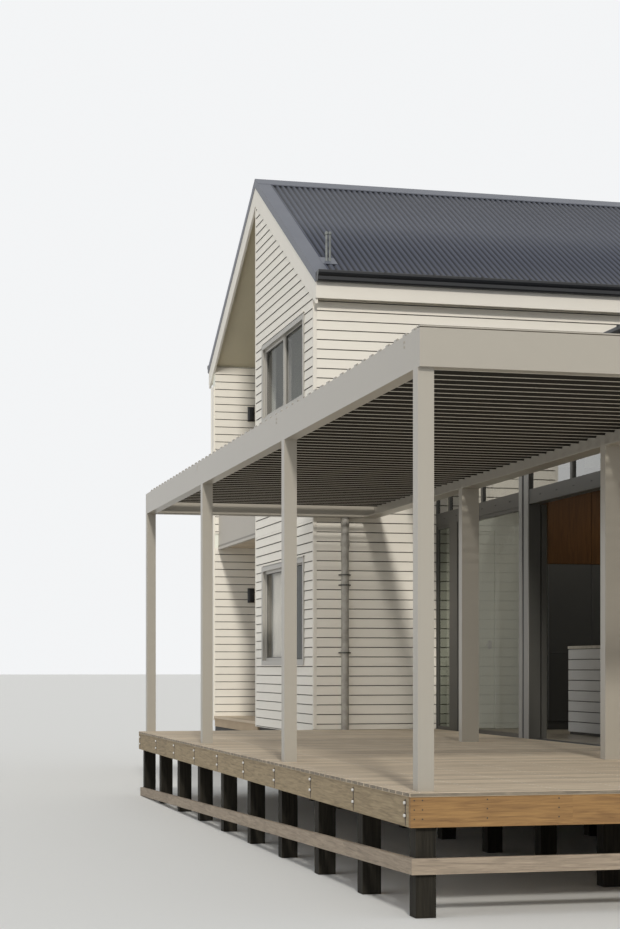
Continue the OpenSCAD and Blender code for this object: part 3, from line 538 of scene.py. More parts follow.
# points along a wall, out from it and up
def wallPlace(side, wall):
    way = -1 if side in ("west", "near") else 1
    if side in ("west", "east"):
        return lambda along, out, z: Vector((wall + way * out, along, z))
    return lambda along, out, z: Vector((along, wall + way * out, z))


def addBoard(bm, side, wall, span, low, high, joint):
    place, tip = wallPlace(side, wall), cladding["tip"]
    turn = joint + cladding["pitch"] - cladding["groove"]
    levels = [low] + ([turn] if low + tip < turn < high - tip else []) + [high]
    points = [(0.0, low)] + [(boardReach(z - joint), z) for z in levels] + [(0.0, high)]

    def between(z, first, last):
        return first + (last - first) * (z - low) / (high - low)

    start = [bm.verts.new(place(between(z, span[0], span[1]), out, z)) for out, z in points]
    made = bmesh.ops.extrude_face_region(bm, geom=[bm.faces.new(start)])["geom"]
    for vert in made:
        if isinstance(vert, bmesh.types.BMVert):
            end = between(vert.co.z, span[2], span[3])
            if side in ("west", "east"):
                vert.co.y = end
            else:
                vert.co.x = end


# what a hole leaves of a board, whose start and end are given at its foot and at its head
def cutSpan(span, foot, head):
    start, startUp, end, endUp = span
    (cutStart, cutEnd), (cutStartUp, cutEndUp) = foot, head
    if cutEnd + cutEndUp <= start + startUp or cutStart + cutStartUp >= end + endUp:
        return [span]
    kept = []
    if cutStart + cutStartUp > start + startUp + 2 * cladding["sliver"]:
        kept.append((start, startUp, cutStart, cutStartUp))
    if end + endUp > cutEnd + cutEndUp + 2 * cladding["sliver"]:
        kept.append((cutEnd, cutEndUp, end, endUp))
    return kept


def cladWall(bm, side, wall, bottom, top, limits, holes=(), shift=0.0):
    pitch, sliver, tip = cladding["pitch"], cladding["sliver"], cladding["tip"]
    first = deckTop + cladding["firstJoint"] + shift
    row = math.floor((bottom - first) / pitch + 1e-6)
    while first + row * pitch < top - sliver:
        joint = first + row * pitch
        row += 1
        marks = [max(joint, bottom), min(joint + pitch, top)]
        for spread, holeLow, holeHigh in holes:
            marks += [z for z in (holeLow, holeHigh) if marks[0] + sliver < z < marks[1] - sliver]
        marks = sorted(marks)
        for low, high in zip(marks, marks[1:]):
            if high - low < sliver:
                continue
            spans = [(limits(low)[0], limits(high)[0], limits(low)[1], limits(high)[1])]
            for spread, holeLow, holeHigh in holes:
                if holeLow < (low + high) / 2 < holeHigh:
                    spans = [part for span in spans for part in cutSpan(span, spread(low), spread(high))]
            for start, startUp, end, endUp in spans:
                if end - start >= cladding["shortest"] or endUp - startUp >= cladding["shortest"]:
                    span = (start, min(startUp, endUp - tip), end, max(endUp, startUp + tip))
                    addBoard(bm, side, wall, span, low, high, joint)


def fixed(low, high):
    return lambda z: (low, high)


# the grooves and undersides of the boards are painted dark: painted shade
def finishBoards(name, bm):
    bmesh.ops.recalc_face_normals(bm, faces=bm.faces)
    bm.normal_update()
    for face in bm.faces:
        level = math.hypot(face.normal.x, face.normal.y)
        if face.normal.z < -0.9 or (face.normal.z > 0.5 and level > 0.5):
            face.material_index = 1
    finishPiece(name, bm, "boardPaint").data.materials.append(finishes["jointShade"])


# holes for the windows in a wall that faces along an axis
def windowHoles(axis, wall):
    side, near, gap, found = 1 - axis, cladding["frameNear"], cladding["sideGap"], []
    for low, high in windowBoxes:
        if low[axis] - near < wall < high[axis] + near and high[axis] - low[axis] < cladding["frameDeep"]:
            found.append((fixed(low[side] - gap, high[side] + gap),
                          low.z - cladding["footGap"], high.z + cladding["headGap"]))
    return found


# limits under a barge board, for a gable that rises from both sides
def gableLimits(low, high, topOf, ridge, slope):
    def limits(z):
        reach = (topOf(ridge) - bargeFoot - z) / slope
        return max(low, ridge - reach), min(high, ridge + reach)
    return limits


gableTop = tallRidgeTop - bargeFoot
beamLow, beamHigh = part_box("pergola_cross_beams")
balconyLow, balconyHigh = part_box("balcony_floor")
sideLow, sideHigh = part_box("wing_side_wall")
lintelLow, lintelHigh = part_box("wing_lintel")
roofGap, past, floorGap = cladding["roofGap"], cladding["past"], cladding["floorGap"]
underDeck = (cladBottom - past, deckTop + cladding["deckGap"])

bm = bmesh.new()
holes = windowHoles(0, gableX) + [(fixed(nearY - past, deckHigh.y + 2 * cladding["sideGap"]), *underDeck)]
storeyJoint = (deckTop + cladding["firstJoint"] + cladding["upperShift"]
               + cladding["storeyRows"] * cladding["pitch"])
cladWall(bm, "west", gableX, cladBottom, storeyJoint, fixed(nearY, ridgeY), holes)
cladWall(bm, "west", gableX, storeyJoint, gableTop,
         gableLimits(nearY, ridgeY, tallTop, ridgeY, tallSlope), holes, cladding["upperShift"])
finishBoards("gable_boards", bm)


# the wing's inside and its roof cover part of the near wall
def wingSpread(z):
    eaveTop = wingTop(leftEaveX)
    if z < wingUnder(leftEaveX):
        return glazingX, wingBackX
    if z < eaveTop:
        return leftEaveX, rightEaveX
    shift = (z - eaveTop) / wingSlope
    return leftEaveX + shift, rightEaveX - shift


bm = bmesh.new()
wingLevels = (cladBottom - past, wingUnder(leftEaveX), wingTop(leftEaveX), wingRidgeTop)
holes = [(wingSpread, low, high) for low, high in zip(wingLevels, wingLevels[1:])]
holes += [(fixed(gableX - past, beamHigh.x + cladding["deckGap"]), beamLow.z, beamHigh.z),
          (fixed(gableX - past, glazingX), *underDeck)]
cladWall(bm, "near", nearY, cladBottom, tallUnder(nearY) - roofGap, fixed(gableX, eastX), holes)
finishBoards("near_wall_boards", bm)

bm = bmesh.new()
cladWall(bm, "far", farY, cladBottom, tallUnder(farY) - roofGap, fixed(gableX, eastX), windowHoles(1, farY))
finishBoards("far_wall_boards", bm)

bm = bmesh.new()
cladWall(bm, "east", eastX, cladBottom, gableTop, gableLimits(nearY, farY, tallTop, ridgeY, tallSlope),
         windowHoles(0, eastX))
finishBoards("east_wall_boards", bm)


# inside faces of the porch and of the balcony over it
def recessLimits(z):
    reach = (tallUnder(ridgeY) - cladding["ridgeGap"] / 2 - z) / tallSlope
    return ridgeY, min(porchFarY, ridgeY + reach)


bm = bmesh.new()
recessTop = tallUnder(ridgeY) - cladding["ridgeGap"]
recessSpan = fixed(gableX + cladding["tip"], recessX)
for low, high in ((deckTop + floorGap, balconyLow.z - floorGap), (balconyHigh.z + floorGap, tallRidgeTop)):
    cladWall(bm, "near", porchFarY, low, min(high, tallUnder(porchFarY) - roofGap), recessSpan)
    cladWall(bm, "far", ridgeY, low, min(high, recessTop), recessSpan)
    cladWall(bm, "west", recessX, low, min(high, recessTop), recessLimits, windowHoles(0, recessX))
finishBoards("porch_boards", bm)

bm = bmesh.new()
wingWallTop = wingUnder(glazingX) - roofGap
cladWall(bm, "near", wingFrontY, cladBottom, wingRidgeTop - bargeFoot,
         gableLimits(glazingX, wingBackX, wingTop, wingRidgeX, wingSlope), windowHoles(1, wingFrontY))
cladWall(bm, "east", wingBackX, cladBottom, wingUnder(wingBackX) - roofGap, fixed(wingFrontY, nearY),
         windowHoles(0, wingBackX))
cladWall(bm, "west", glazingX, cladBottom, wingWallTop, fixed(sideLow.y, sideHigh.y),
         [(fixed(deckLow.y - cladding["frameNear"], nearY), *underDeck)])
cladWall(bm, "west", glazingX, lintelLow.z + floorGap, wingWallTop, fixed(lintelLow.y, lintelHigh.y))
finishBoards("wing_boards", bm)

# corner stops that the boards run up to
corner = {"out": 0.026, "in": 0.016, "bargeGap": 0.012, "wingGap": 0.02, "gableGap": 0.03, "beamGap": 0.002,
          "return": 0.02, "bevel": 0.002}
nearStop = tallTop(nearEaveY) - bargeFoot - corner["bargeGap"]
farStop = tallTop(farEaveY) - bargeFoot - corner["bargeGap"]
wingDrop = bargeFoot + corner["wingGap"]
corners = [
    (gableX, nearY, -1, -1, deckTop + cladding["deckGap"], beamLow.z - corner["beamGap"]),
    (gableX, nearY, -1, -1, beamHigh.z + corner["beamGap"], nearStop),
    (gableX, ridgeY, -1, 1, cladBottom, gableTop - corner["gableGap"]),
    (eastX, nearY, 1, -1, cladBottom, nearStop),
    (eastX, farY, 1, 1, cladBottom, farStop),
    (gableX, farY, -1, 1, cladBottom, farStop),
    (wingBackX, wingFrontY, 1, -1, cladBottom, wingTop(wingBackX) - wingDrop),
    (glazingX, wingFrontY, -1, -1, cladBottom, wingTop(glazingX) - wingDrop),
]
bars = []
for x, y, sideX, sideY, low, high in corners:
    xs = sorted((x + sideX * corner["out"], x - sideX * corner["in"]))
    ys = sorted((y + sideY * corner["out"], y - sideY * corner["in"]))
    bars.append(((xs[0], ys[0], low), (xs[1], ys[1], high)))
bars.append(((gableX - corner["return"], porchFarY, cladBottom), (gableX, farY, farStop)))
barPiece("corner_stops", bars, "trimPaint", bevel=corner["bevel"])

# corrugated roof sheets
print("folding the roof")
roofing = {"pitch": 0.0762, "depth": 0.017, "steps": 8, "lift": 0.003, "eaveOver": 0.035, "ridgeGap": 0.02,
           "thick": 0.0015}


def stripFrom(bm, points, way):
    verts = [bm.verts.new(p) for p in points]
    edges = [bm.edges.new(pair) for pair in zip(verts, verts[1:])]
    made = bmesh.ops.extrude_edge_only(bm, edges=edges)["geom"]
    moved = [v for v in made if isinstance(v, bmesh.types.BMVert)]
    bmesh.ops.translate(bm, verts=moved, vec=way)
    return verts, moved


def faceUp(bm, way):
    bm.normal_update()
    if sum(face.normal.dot(way) * face.calc_area() for face in bm.faces) < 0:
        bmesh.ops.reverse_faces(bm, faces=bm.faces)


def corrugatedSheet(name, eave, ridge, along, length, finish):
    bm = bmesh.new()
    up = (ridge - eave).normalized()
    out = along.cross(up).normalized()
    if out.z < 0:
        out = -out
    eave = eave - up * roofing["eaveOver"]
    step = roofing["pitch"] / roofing["steps"]
    points = []
    for i in range(int(length / step) + 1):
        wave = math.cos(2 * math.pi * i / roofing["steps"])
        lift = roofing["lift"] + roofing["depth"] * (0.5 + 0.5 * wave)
        points.append(eave + along * (i * step) + out * lift)
    stripFrom(bm, points, ridge - eave - up * roofing["ridgeGap"])
    faceUp(bm, out)
    solidify(finishPiece(name, bm, finish, smooth=True, faceOut=False), roofing["thick"])


tallLength, wingLength = eastX - gableX, nearY - wingVergeY
alongX, alongY = Vector((1, 0, 0)), Vector((0, 1, 0))
finishes["tallSteel"] = corrugatedFinish("tallSteel", alongX, gableX, roofing["pitch"])
finishes["wingSteel"] = corrugatedFinish("wingSteel", alongY, wingVergeY, roofing["pitch"])
for name, y in (("near_roof_sheets", nearEaveY), ("far_roof_sheets", farEaveY)):
    corrugatedSheet(name, Vector((gableX, y, tallTop(y))), Vector((gableX, ridgeY, tallRidgeTop)),
                    alongX, tallLength, "tallSteel")
for name, x in (("wing_left_sheets", leftEaveX), ("wing_right_sheets", rightEaveX)):
    corrugatedSheet(name, Vector((x, wingVergeY, wingTop(x))), Vector((wingRidgeX, wingVergeY, wingRidgeTop)),
                    alongY, wingLength, "wingSteel")

# flat flashings along the verges and over the ridges
flashing = {"out": 0.034, "width": 0.17, "eaveOver": 0.03, "tallDown": 0.115, "wingDown": 0.075,
            "lift": 0.002, "ridgeWidth": 0.19, "ridgeOut": 0.036, "ridgeLift": 0.004, "lip": 0.012,
            "wallGap": 0.022, "thick": 0.002}
sheetTop = roofing["lift"] + roofing["depth"] + flashing["lift"]
tallLift, wingLift = sheetTop / math.cos(tallPitch), sheetTop / math.cos(wingPitch)
bm = bmesh.new()
for outer, side in ((gableX - flashing["out"], -1), (eastX + flashing["out"], 1)):
    for eaveY in (nearEaveY, farEaveY):
        reach = eaveY + (flashing["eaveOver"] if eaveY > ridgeY else -flashing["eaveOver"])
        z = tallTop(reach) + tallLift
        points = [(outer - side * flashing["width"], reach, z), (outer, reach, z),
                  (outer, reach, z - flashing["tallDown"])]
        stripFrom(bm, points, Vector((0, ridgeY - reach, tallRidgeTop + tallLift - z)))
outer = wingVergeY - flashing["out"]
for eaveX in (leftEaveX, rightEaveX):
    reach = eaveX + (flashing["eaveOver"] if eaveX > wingRidgeX else -flashing["eaveOver"])
    z = wingTop(reach) + wingLift
    points = [(reach, outer + flashing["width"], z), (reach, outer, z),
              (reach, outer, z - flashing["wingDown"])]
    stripFrom(bm, points, Vector((wingRidgeX - reach, 0, wingRidgeTop + wingLift - z)))
solidify(finishPiece("verge_flashings", bm, "roofFlat"), flashing["thick"], 1.0)


# a ridge cap's outline, sideways from the ridge and up
def ridgeOutline(slope, top):
    run, lip = flashing["ridgeWidth"], flashing["lip"]
    foot = top - run * slope
    return [(-run, foot - lip), (-run, foot), (0, top), (run, foot), (run, foot - lip)]


bm = bmesh.new()
points = [(gableX - flashing["ridgeOut"], ridgeY + side, z)
          for side, z in ridgeOutline(tallSlope, tallRidgeTop + tallLift + flashing["ridgeLift"])]
stripFrom(bm, points, Vector((tallLength + 2 * flashing["ridgeOut"], 0, 0)))
wingCapY = wingVergeY - flashing["ridgeOut"]
points = [(wingRidgeX + side, wingCapY, z)
          for side, z in ridgeOutline(wingSlope, wingRidgeTop + wingLift + flashing["ridgeLift"])]
stripFrom(bm, points, Vector((0, nearY - flashing["wallGap"] - wingCapY, 0)))
caps = finishPiece("ridge_flashings", bm, "roofFlat")
solidify(caps, flashing["thick"], 1.0)
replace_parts(caps, "ridge_caps")

# closures fill the waves under the ridge caps
closure = {"outer": 0.008, "inner": 0.030, "inset": 0.01, "foot": 0.002, "tallHead": 0.006, "wingHead": 0.003,
           "wallGap": 0.03}
bars = []
for way in (-1, 1):
    inner, outer = [way * (flashing["ridgeWidth"] - closure[edge]) for edge in ("inner", "outer")]
    ys, level = sorted((ridgeY + inner, ridgeY + outer)), tallTop(ridgeY + outer)
    bars.append(((gableX + closure["inset"], ys[0], level + closure["foot"]),
                 (eastX - closure["inset"], ys[1], level + tallLift + closure["tallHead"])))
    xs, level = sorted((wingRidgeX + inner, wingRidgeX + outer)), wingTop(wingRidgeX + outer)
    bars.append(((xs[0], wingVergeY + closure["inset"], level + closure["foot"]),
                 (xs[1], nearY - closure["wallGap"], level + wingLift + closure["wingHead"])))
barPiece("ridge_closures", bars, "gutterSteel")

# gutters: a stepped face with a rolled lip, closed ends, and clips over the top
print("hanging the gutters")
gutterShape = [(0.0, -0.004), (0.0, -0.112), (0.012, -0.123), (0.072, -0.123), (0.088, -0.108),
               (0.090, -0.070), (0.112, -0.050), (0.122, -0.030), (0.123, -0.006), (0.117, 0.0),
               (0.108, -0.003), (0.108, -0.012)]
gutter = {"thick": 0.002, "endPoints": 9, "wingGap": 0.024, "clipPitch": 0.60, "clipStart": 0.2,
          "clipWide": 0.025, "straps": ((0.0, 0.108, -0.004, 0.0), (0.104, 0.127, -0.016, 0.010))}
bm, clips = bmesh.new(), bmesh.new()
for low, high in looseBoxes("gutters"):
    if high.x - low.x > high.y - low.y:
        back, side = (high.y, -1) if low.y < ridgeY else (low.y, 1)
        points = [Vector((low.x, back + side * out, high.z + up)) for out, up in gutterShape]
        way = Vector((high.x - low.x, 0, 0))
    else:
        back, side = (high.x, -1) if low.x < wingRidgeX else (low.x, 1)
        points = [Vector((back + side * out, low.y, high.z + up)) for out, up in gutterShape]
        way = Vector((0, high.y - low.y - gutter["wingGap"], 0))
    for ring in stripFrom(bm, points, way):
        bm.faces.new([bm.verts.new(v.co.copy()) for v in ring[:gutter["endPoints"]]])
    run, across = way.normalized(), Vector((way.y, way.x, 0)).normalized() * side
    for number in range(int(way.length / gutter["clipPitch"])):
        base = points[0] + run * (gutter["clipStart"] + number * gutter["clipPitch"])
        for near, far, foot, head in gutter["straps"]:
            first, last = base + across * near, base + across * far + run * gutter["clipWide"]
            addBar(clips, (min(first.x, last.x), min(first.y, last.y), high.z + foot),
                   (max(first.x, last.x), max(first.y, last.y), high.z + head))
finishPiece("gutter_clips", clips, "gutterSteel")
gutterPiece = finishPiece("gutter_runs", bm, "gutterSteel")
solidify(gutterPiece, gutter["thick"], 0.0)
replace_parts(gutterPiece, "gutters")

# paving on the porch, its front row with a nosing
print("paving the porch")
paving = {"long": 0.60, "wide": 0.30, "joint": 0.004, "thick": 0.004, "nose": 0.014, "noseDrop": 0.030}
low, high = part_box("porch_slab")
bars = []
rows, columns = round((high.x - low.x) / paving["wide"]), round((high.y - low.y) / paving["long"])
wide, long = (high.x - low.x) / rows, (high.y - low.y) / columns
for row in range(rows):
    for column in range(columns):
        front = -paving["nose"] if row == 0 else paving["joint"]
        y = low.y + column * long
        bars.append(((low.x + row * wide + front, y + paving["joint"], high.z),
                     (low.x + (row + 1) * wide, y + long, high.z + paving["thick"])))
        if row == 0:
            bars.append(((low.x - paving["nose"], y + paving["joint"], high.z - paving["noseDrop"]),
                         (low.x, y + long, high.z)))
barPiece("porch_paving", bars, "pavingStone")

# deck boards, laid along X, with their screws
print("laying the deck")
decking = {"width": 0.140, "gap": 0.005, "over": 0.008, "wallGap": 0.005, "least": 0.03, "bevel": 0.003}
screws = {"radius": 0.0045, "topRadius": 0.0036, "depth": 0.0016, "lift": 0.0002, "sides": (0.2, 0.8),
          "joistPitch": 0.45, "joistMiddle": 0.0225, "endGap": 0.02}
bm = bmesh.new()
boardRows = []
y = deckLow.y - decking["over"]
while y < deckHigh.y - decking["least"]:
    yEnd, wallY = min(y + decking["width"], deckHigh.y), nearY - decking["wallGap"]
    xEnd = deckHigh.x if yEnd < wallY else gableX - decking["wallGap"]
    end = (deckHigh.x, wallY, deckTop) if y < wallY < yEnd else (xEnd, yEnd, deckTop)
    addBar(bm, (deckLow.x - decking["over"], y, deckLow.z), end)
    boardRows.append((y, yEnd, xEnd))
    y += decking["width"] + decking["gap"]
bevelEdges(bm, decking["bevel"])
bm.normal_update()
for face in bm.faces:
    if abs(face.normal.x) > 0.9 or face.normal.y < -0.9:
        face.material_index = 1
deckPiece = finishPiece("deck_boards", bm, "deckTimber")
deckPiece.data.materials.append(finishes["deckEnds"])
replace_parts(deckPiece, "decking")

bm = bmesh.new()
for y, yEnd, xEnd in boardRows:
    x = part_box("deck_joists")[0].x + screws["joistMiddle"]
    while x < xEnd - screws["endGap"]:
        for share in screws["sides"]:
            spot = (x, y + (yEnd - y) * share, deckTop + screws["lift"])
            addRound(bm, spot, screws["radius"], screws["depth"], 6, topRadius=screws["topRadius"])
        x += screws["joistPitch"]
finishPiece("deck_screws", bm, "zincMetal")

# sashes, beads and flashings of the windows and of the closed doors behind the porch
print("fitting the windows")
fittings = {"frameFront": 0.035, "facing": 0.015, "frame": 0.045, "back": -0.030, "sash": 0.038,
            "sashFront": -0.004, "doorSash": 0.0608, "bead": 0.014, "beadFront": -0.016, "seal": 0.007,
            "sealFront": -0.024, "doorHeight": 1.8, "wallNear": 0.05}
flash = {"past": 0.012, "from": 0.001, "out": 0.042, "rise": 0.016, "thick": 0.003, "lip": 0.010,
         "sillOut": 0.048, "sillThick": 0.010}
grip = {"inset": 0.03, "half": 0.011, "stemHalf": 0.007, "span": (0.85, 1.15), "stems": (0.90, 1.09),
        "stem": 0.02, "stemOut": 0.014, "out": 0.028}


# a bar in a window's own frame: across to the right as seen from outside, out from the wall, and up
def windowBar(bm, box, across, out, rise):
    low, high = box
    axis = 0 if high.x - low.x < high.y - low.y else 1
    walls = (gableX, recessX) if axis == 0 else (wingFrontY,)
    front = fittings["frameFront"]
    way = -1 if any(abs(low[axis] + front - wall) < fittings["wallNear"] for wall in walls) else 1
    wall = low[axis] + front if way < 0 else high[axis] - front
    turn = 1 if (axis == 0) == (way > 0) else -1
    middle = (low[1 - axis] + high[1 - axis]) / 2
    depth = sorted(wall + way * value for value in out)
    sides = sorted(middle + turn * value for value in across)
    ends = [(depth[i], sides[i]) if axis == 0 else (sides[i], depth[i]) for i in (0, 1)]
    addBar(bm, (*ends[0], rise[0]), (*ends[1], rise[1]))


def windowRing(bm, box, across, out, rise, width):
    windowBar(bm, box, (across[0], across[0] + width), out, rise)
    windowBar(bm, box, (across[1] - width, across[1]), out, rise)
    inner = (across[0] + width, across[1] - width)
    windowBar(bm, box, inner, out, (rise[0], rise[0] + width))
    windowBar(bm, box, inner, out, (rise[1] - width, rise[1]))


def doorGrip(bm, box, middle, foot):
    low, high = grip["span"]
    windowBar(bm, box, (middle - grip["half"], middle + grip["half"]), (grip["stemOut"], grip["out"]),
              (foot + low, foot + high))
    for level in grip["stems"]:
        windowBar(bm, box, (middle - grip["stemHalf"], middle + grip["stemHalf"]),
                  (fittings["sashFront"], grip["stemOut"]), (foot + level, foot + level + grip["stem"]))


sashes, seals, flashes = bmesh.new(), bmesh.new(), bmesh.new()
for box in windowBoxes:
    low, high = box
    isDoor = high.z - low.z > fittings["doorHeight"]
    edge, frameW, back = fittings["facing"], fittings["frame"], fittings["back"]
    half = max(high.x - low.x, high.y - low.y) / 2 - edge
    rise = (low.z + (0 if isDoor else edge) + frameW, high.z - edge - frameW)
    for number, across in enumerate([(-half + frameW, -frameW / 2), (frameW / 2, half - frameW)]):
        if isDoor:
            width, front = fittings["doorSash"], fittings["sashFront"]
        elif number == 0:
            width, front = fittings["sash"], fittings["sashFront"]
        else:
            width, front = fittings["bead"], fittings["beadFront"]
        windowRing(sashes, box, across, (back, front), rise, width)
        inner = (across[0] + width, across[1] - width)
        windowRing(seals, box, inner, (back, fittings["sealFront"]), (rise[0] + width, rise[1] - width),
                   fittings["seal"])
        if isDoor:
            middle = across[1] - grip["inset"] if number == 0 else across[0] + grip["inset"]
            doorGrip(seals, box, middle, rise[0])
    head, sill, side = high.z + flash["rise"], low.z - flash["from"], half + edge + flash["past"]
    strips = [((flash["from"], flash["out"]), (head, head + flash["thick"])),
              ((flash["out"] - flash["thick"], flash["out"]), (head - flash["lip"], head))]
    if not isDoor:
        strips.append(((flash["from"], flash["sillOut"]), (sill - flash["sillThick"], sill)))
    for out, strip in strips:
        windowBar(flashes, box, (-side, side), out, strip)
finishPiece("window_sashes", sashes, "windowMetal")
finishPiece("window_seals", seals, "sealBlack")
finishPiece("window_flashings", flashes, "trimPaint")

# the glazed side: covers on its middle post, frames of its fixed panes, screws and seals
print("dressing the glazed side")
glazing = {"edge": 0.002, "coverOut": 0.010, "nearCover": 0.126, "farCover": 0.096, "lining": (0.012, 0.070),
           "groove": 0.003, "paneFrame": 0.040, "paneDepth": (0.008, 0.056), "seal": 0.008, "sealOut": 0.003}
headScrews = {"pitch": 0.45, "start": 0.12, "endGap": 0.05, "sides": (-0.012, 0.012), "rise": 0.075,
              "sink": 0.001, "radius": 0.005, "depth": 0.004}
handle = {"inset": 0.0275, "low": 0.95, "high": 1.30, "depth": (0.038, 0.024), "half": 0.009,
          "stemHalf": 0.007, "stem": 0.02, "stemInset": 0.03, "bevel": 0.003}
endPost, middlePost, stilePost, jambPost = sorted(looseBoxes("glazing_posts"), key=lambda box: box[0].y)
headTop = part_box("glazing_head")[1].z
doorHead = middlePost[1].z
(postLow, postHigh), edge = middlePost, glazing["edge"]
coverStart, coverEnd = postLow.y + glazing["nearCover"], postHigh.y - glazing["farCover"]
bars = [((glazingX - glazing["coverOut"], start, deckTop), (glazingX, end, headTop))
        for start, end in ((postLow.y + edge, coverStart), (coverEnd, postHigh.y))]
barPiece("post_covers", bars, "coverMetal")
# the wall nib behind the middle post takes the near-black door-frame colour: painted shade
near, far = [postHigh.x + depth for depth in glazing["lining"]]
bars = [((near, postLow.y + edge, deckTop), (far, postHigh.y - edge, doorHead))]
barPiece("post_lining", bars, "doorMetal")
bars = [((glazingX - glazing["groove"], coverStart, deckTop), (glazingX, coverEnd, headTop))]
barPiece("post_groove", bars, "sealBlack")

bars = []
width = glazing["paneFrame"]
near, far = [glazingX + depth for depth in glazing["paneDepth"]]
for start, end in ((middlePost[1].y, stilePost[0].y), (stilePost[1].y, jambPost[0].y)):
    for side in (start, end - width):
        bars.append(((near, side, deckTop), (far, side + width, doorHead)))
    for level in (deckTop, doorHead - width):
        bars.append(((near, start + width, level), (far, end - width, level + width)))
barPiece("pane_frames", bars, "doorMetal")

bm = bmesh.new()
y = endPost[1].y + headScrews["start"]
while y < jambPost[0].y - headScrews["endGap"]:
    for side in headScrews["sides"]:
        spot = (glazingX - headScrews["sink"], y + side, doorHead + headScrews["rise"])
        addRound(bm, spot, headScrews["radius"], headScrews["depth"], 10, "X")
    y += headScrews["pitch"]
finishPiece("head_screws", bm, "sealBlack")


def paneSeals(name, node, body):
    (low, high), seal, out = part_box(node), glazing["seal"], glazing["sealOut"]
    bars = []
    for start, end in ((low.x - out, low.x), (high.x, high.x + out)):
        bars += [((start, side, low.z), (end, side + seal, high.z)) for side in (low.y, high.y - seal)]
        bars += [((start, low.y + seal, level), (end, high.y - seal, level + seal))
                 for level in (low.z, high.z - seal)]
    barPiece(name, bars, "sealBlack", body)


paneSeals("middle_leaf_seals", "sliding_glass_mid", "middle_leaf")
paneSeals("outer_leaf_seals", "sliding_glass_outer", "outer_leaf")

# the handle on the outer leaf
leafLow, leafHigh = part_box("sliding_leaf_outer")
gripY, (outer, inner) = leafHigh.y - handle["inset"], handle["depth"]
bars = [((leafLow.x - outer, gripY - handle["half"], deckTop + handle["low"]),
         (leafLow.x - inner, gripY + handle["half"], deckTop + handle["high"]))]
for level in (handle["low"] + handle["stemInset"], handle["high"] - handle["stemInset"] - handle["stem"]):
    bars.append(((leafLow.x - inner, gripY - handle["stemHalf"], deckTop + level),
                 (leafLow.x, gripY + handle["stemHalf"], deckTop + level + handle["stem"])))
barPiece("leaf_handle", bars, "lampBlack", "outer_leaf", handle["bevel"], 2)

# the painted door and the skirting that show through the fixed pane
roomDoor = {"left": 0.200, "right": 0.746, "height": 2.38, "leaf": 0.008, "leafGap": 0.003, "leafFoot": 0.006,
            "casing": 0.062, "casingOut": 0.020, "skirting": 0.09, "skirtingOut": 0.012}
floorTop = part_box("ground_floor")[1].z
cabinetLow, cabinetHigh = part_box("tall_cabinets")
doorLeft, doorRight = glazingX + roomDoor["left"], glazingX + roomDoor["right"]
doorTop = floorTop + roomDoor["height"]
casingLeft, casingRight = doorLeft - roomDoor["casing"], doorRight + roomDoor["casing"]
casingY = nearY - roomDoor["casingOut"]
bars = [
    ((doorLeft + roomDoor["leafGap"], nearY - roomDoor["leaf"], floorTop + roomDoor["leafFoot"]),
     (doorRight - roomDoor["leafGap"], nearY, doorTop - roomDoor["leafGap"])),
    ((casingLeft, casingY, floorTop), (doorLeft, nearY, doorTop)),
    ((doorRight, casingY, floorTop), (casingRight, nearY, doorTop)),
    ((casingLeft, casingY, doorTop), (casingRight, nearY, doorTop + roomDoor["casing"])),
    ((casingRight, nearY - roomDoor["skirtingOut"], floorTop),
     (cabinetLow.x, nearY, floorTop + roomDoor["skirting"])),
]
barPiece("room_door", bars, "liningPaint")

# plate, lever and neck: from the door's right edge, out from the wall, and up from the floor
lever = [((0.085, 0.040), (0.014, 0.008), (0.96, 1.06)), ((0.130, 0.055), (0.050, 0.038), (1.005, 1.02)),
         ((0.068, 0.055), (0.040, 0.014), (1.005, 1.02))]
bars = [[(doorRight - back[i], nearY - out[i], floorTop + rise[i]) for i in (0, 1)]
        for back, out, rise in lever]
barPiece("room_door_lever", bars, "zincMetal")

# boards round the island, and the cabinets' doors
print("dressing the kitchen")
island = {"rows": 8, "gap": 0.008, "out": 0.015, "foot": 0.030, "bevel": 0.003}
cabinets = {"doorWidth": 0.60, "gap": 0.004, "out": 0.018, "panelOut": 0.012, "kick": 0.10, "split": 0.90,
            "bevel": 0.002}
islandLow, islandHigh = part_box("kitchen_island")
bars, out = [], island["out"]
pitch = (islandHigh.z - islandLow.z - island["foot"]) / island["rows"]
for row in range(island["rows"]):
    z = islandLow.z + island["foot"] + row * pitch
    bars.append(((islandLow.x - out, islandLow.y - out, z),
                 (islandHigh.x + out, islandHigh.y + out, z + pitch - island["gap"])))
barPiece("island_boards", bars, "islandPaint", bevel=island["bevel"])

panelLow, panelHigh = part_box("timber_panel")
cabinetDoors, panelBoards, gap = [], [], cabinets["gap"]
count = max(1, round((cabinetHigh.x - cabinetLow.x) / cabinets["doorWidth"]))
width = (cabinetHigh.x - cabinetLow.x) / count
for number in range(count):
    start = cabinetLow.x + number * width + gap / 2
    end = start + width - gap
    for bottom, top in ((floorTop + cabinets["kick"], floorTop + cabinets["split"] - gap),
                        (floorTop + cabinets["split"], cabinetHigh.z - gap)):
        cabinetDoors.append(((start, cabinetLow.y - cabinets["out"], bottom), (end, cabinetLow.y, top)))
    panelBoards.append(((start, panelLow.y - cabinets["panelOut"], panelLow.z + gap),
                        (end, panelLow.y, panelHigh.z - gap)))
barPiece("cabinet_doors", cabinetDoors, "cabinetDark", bevel=cabinets["bevel"])
barPiece("panel_boards", panelBoards, "brownTimber", bevel=cabinets["bevel"])
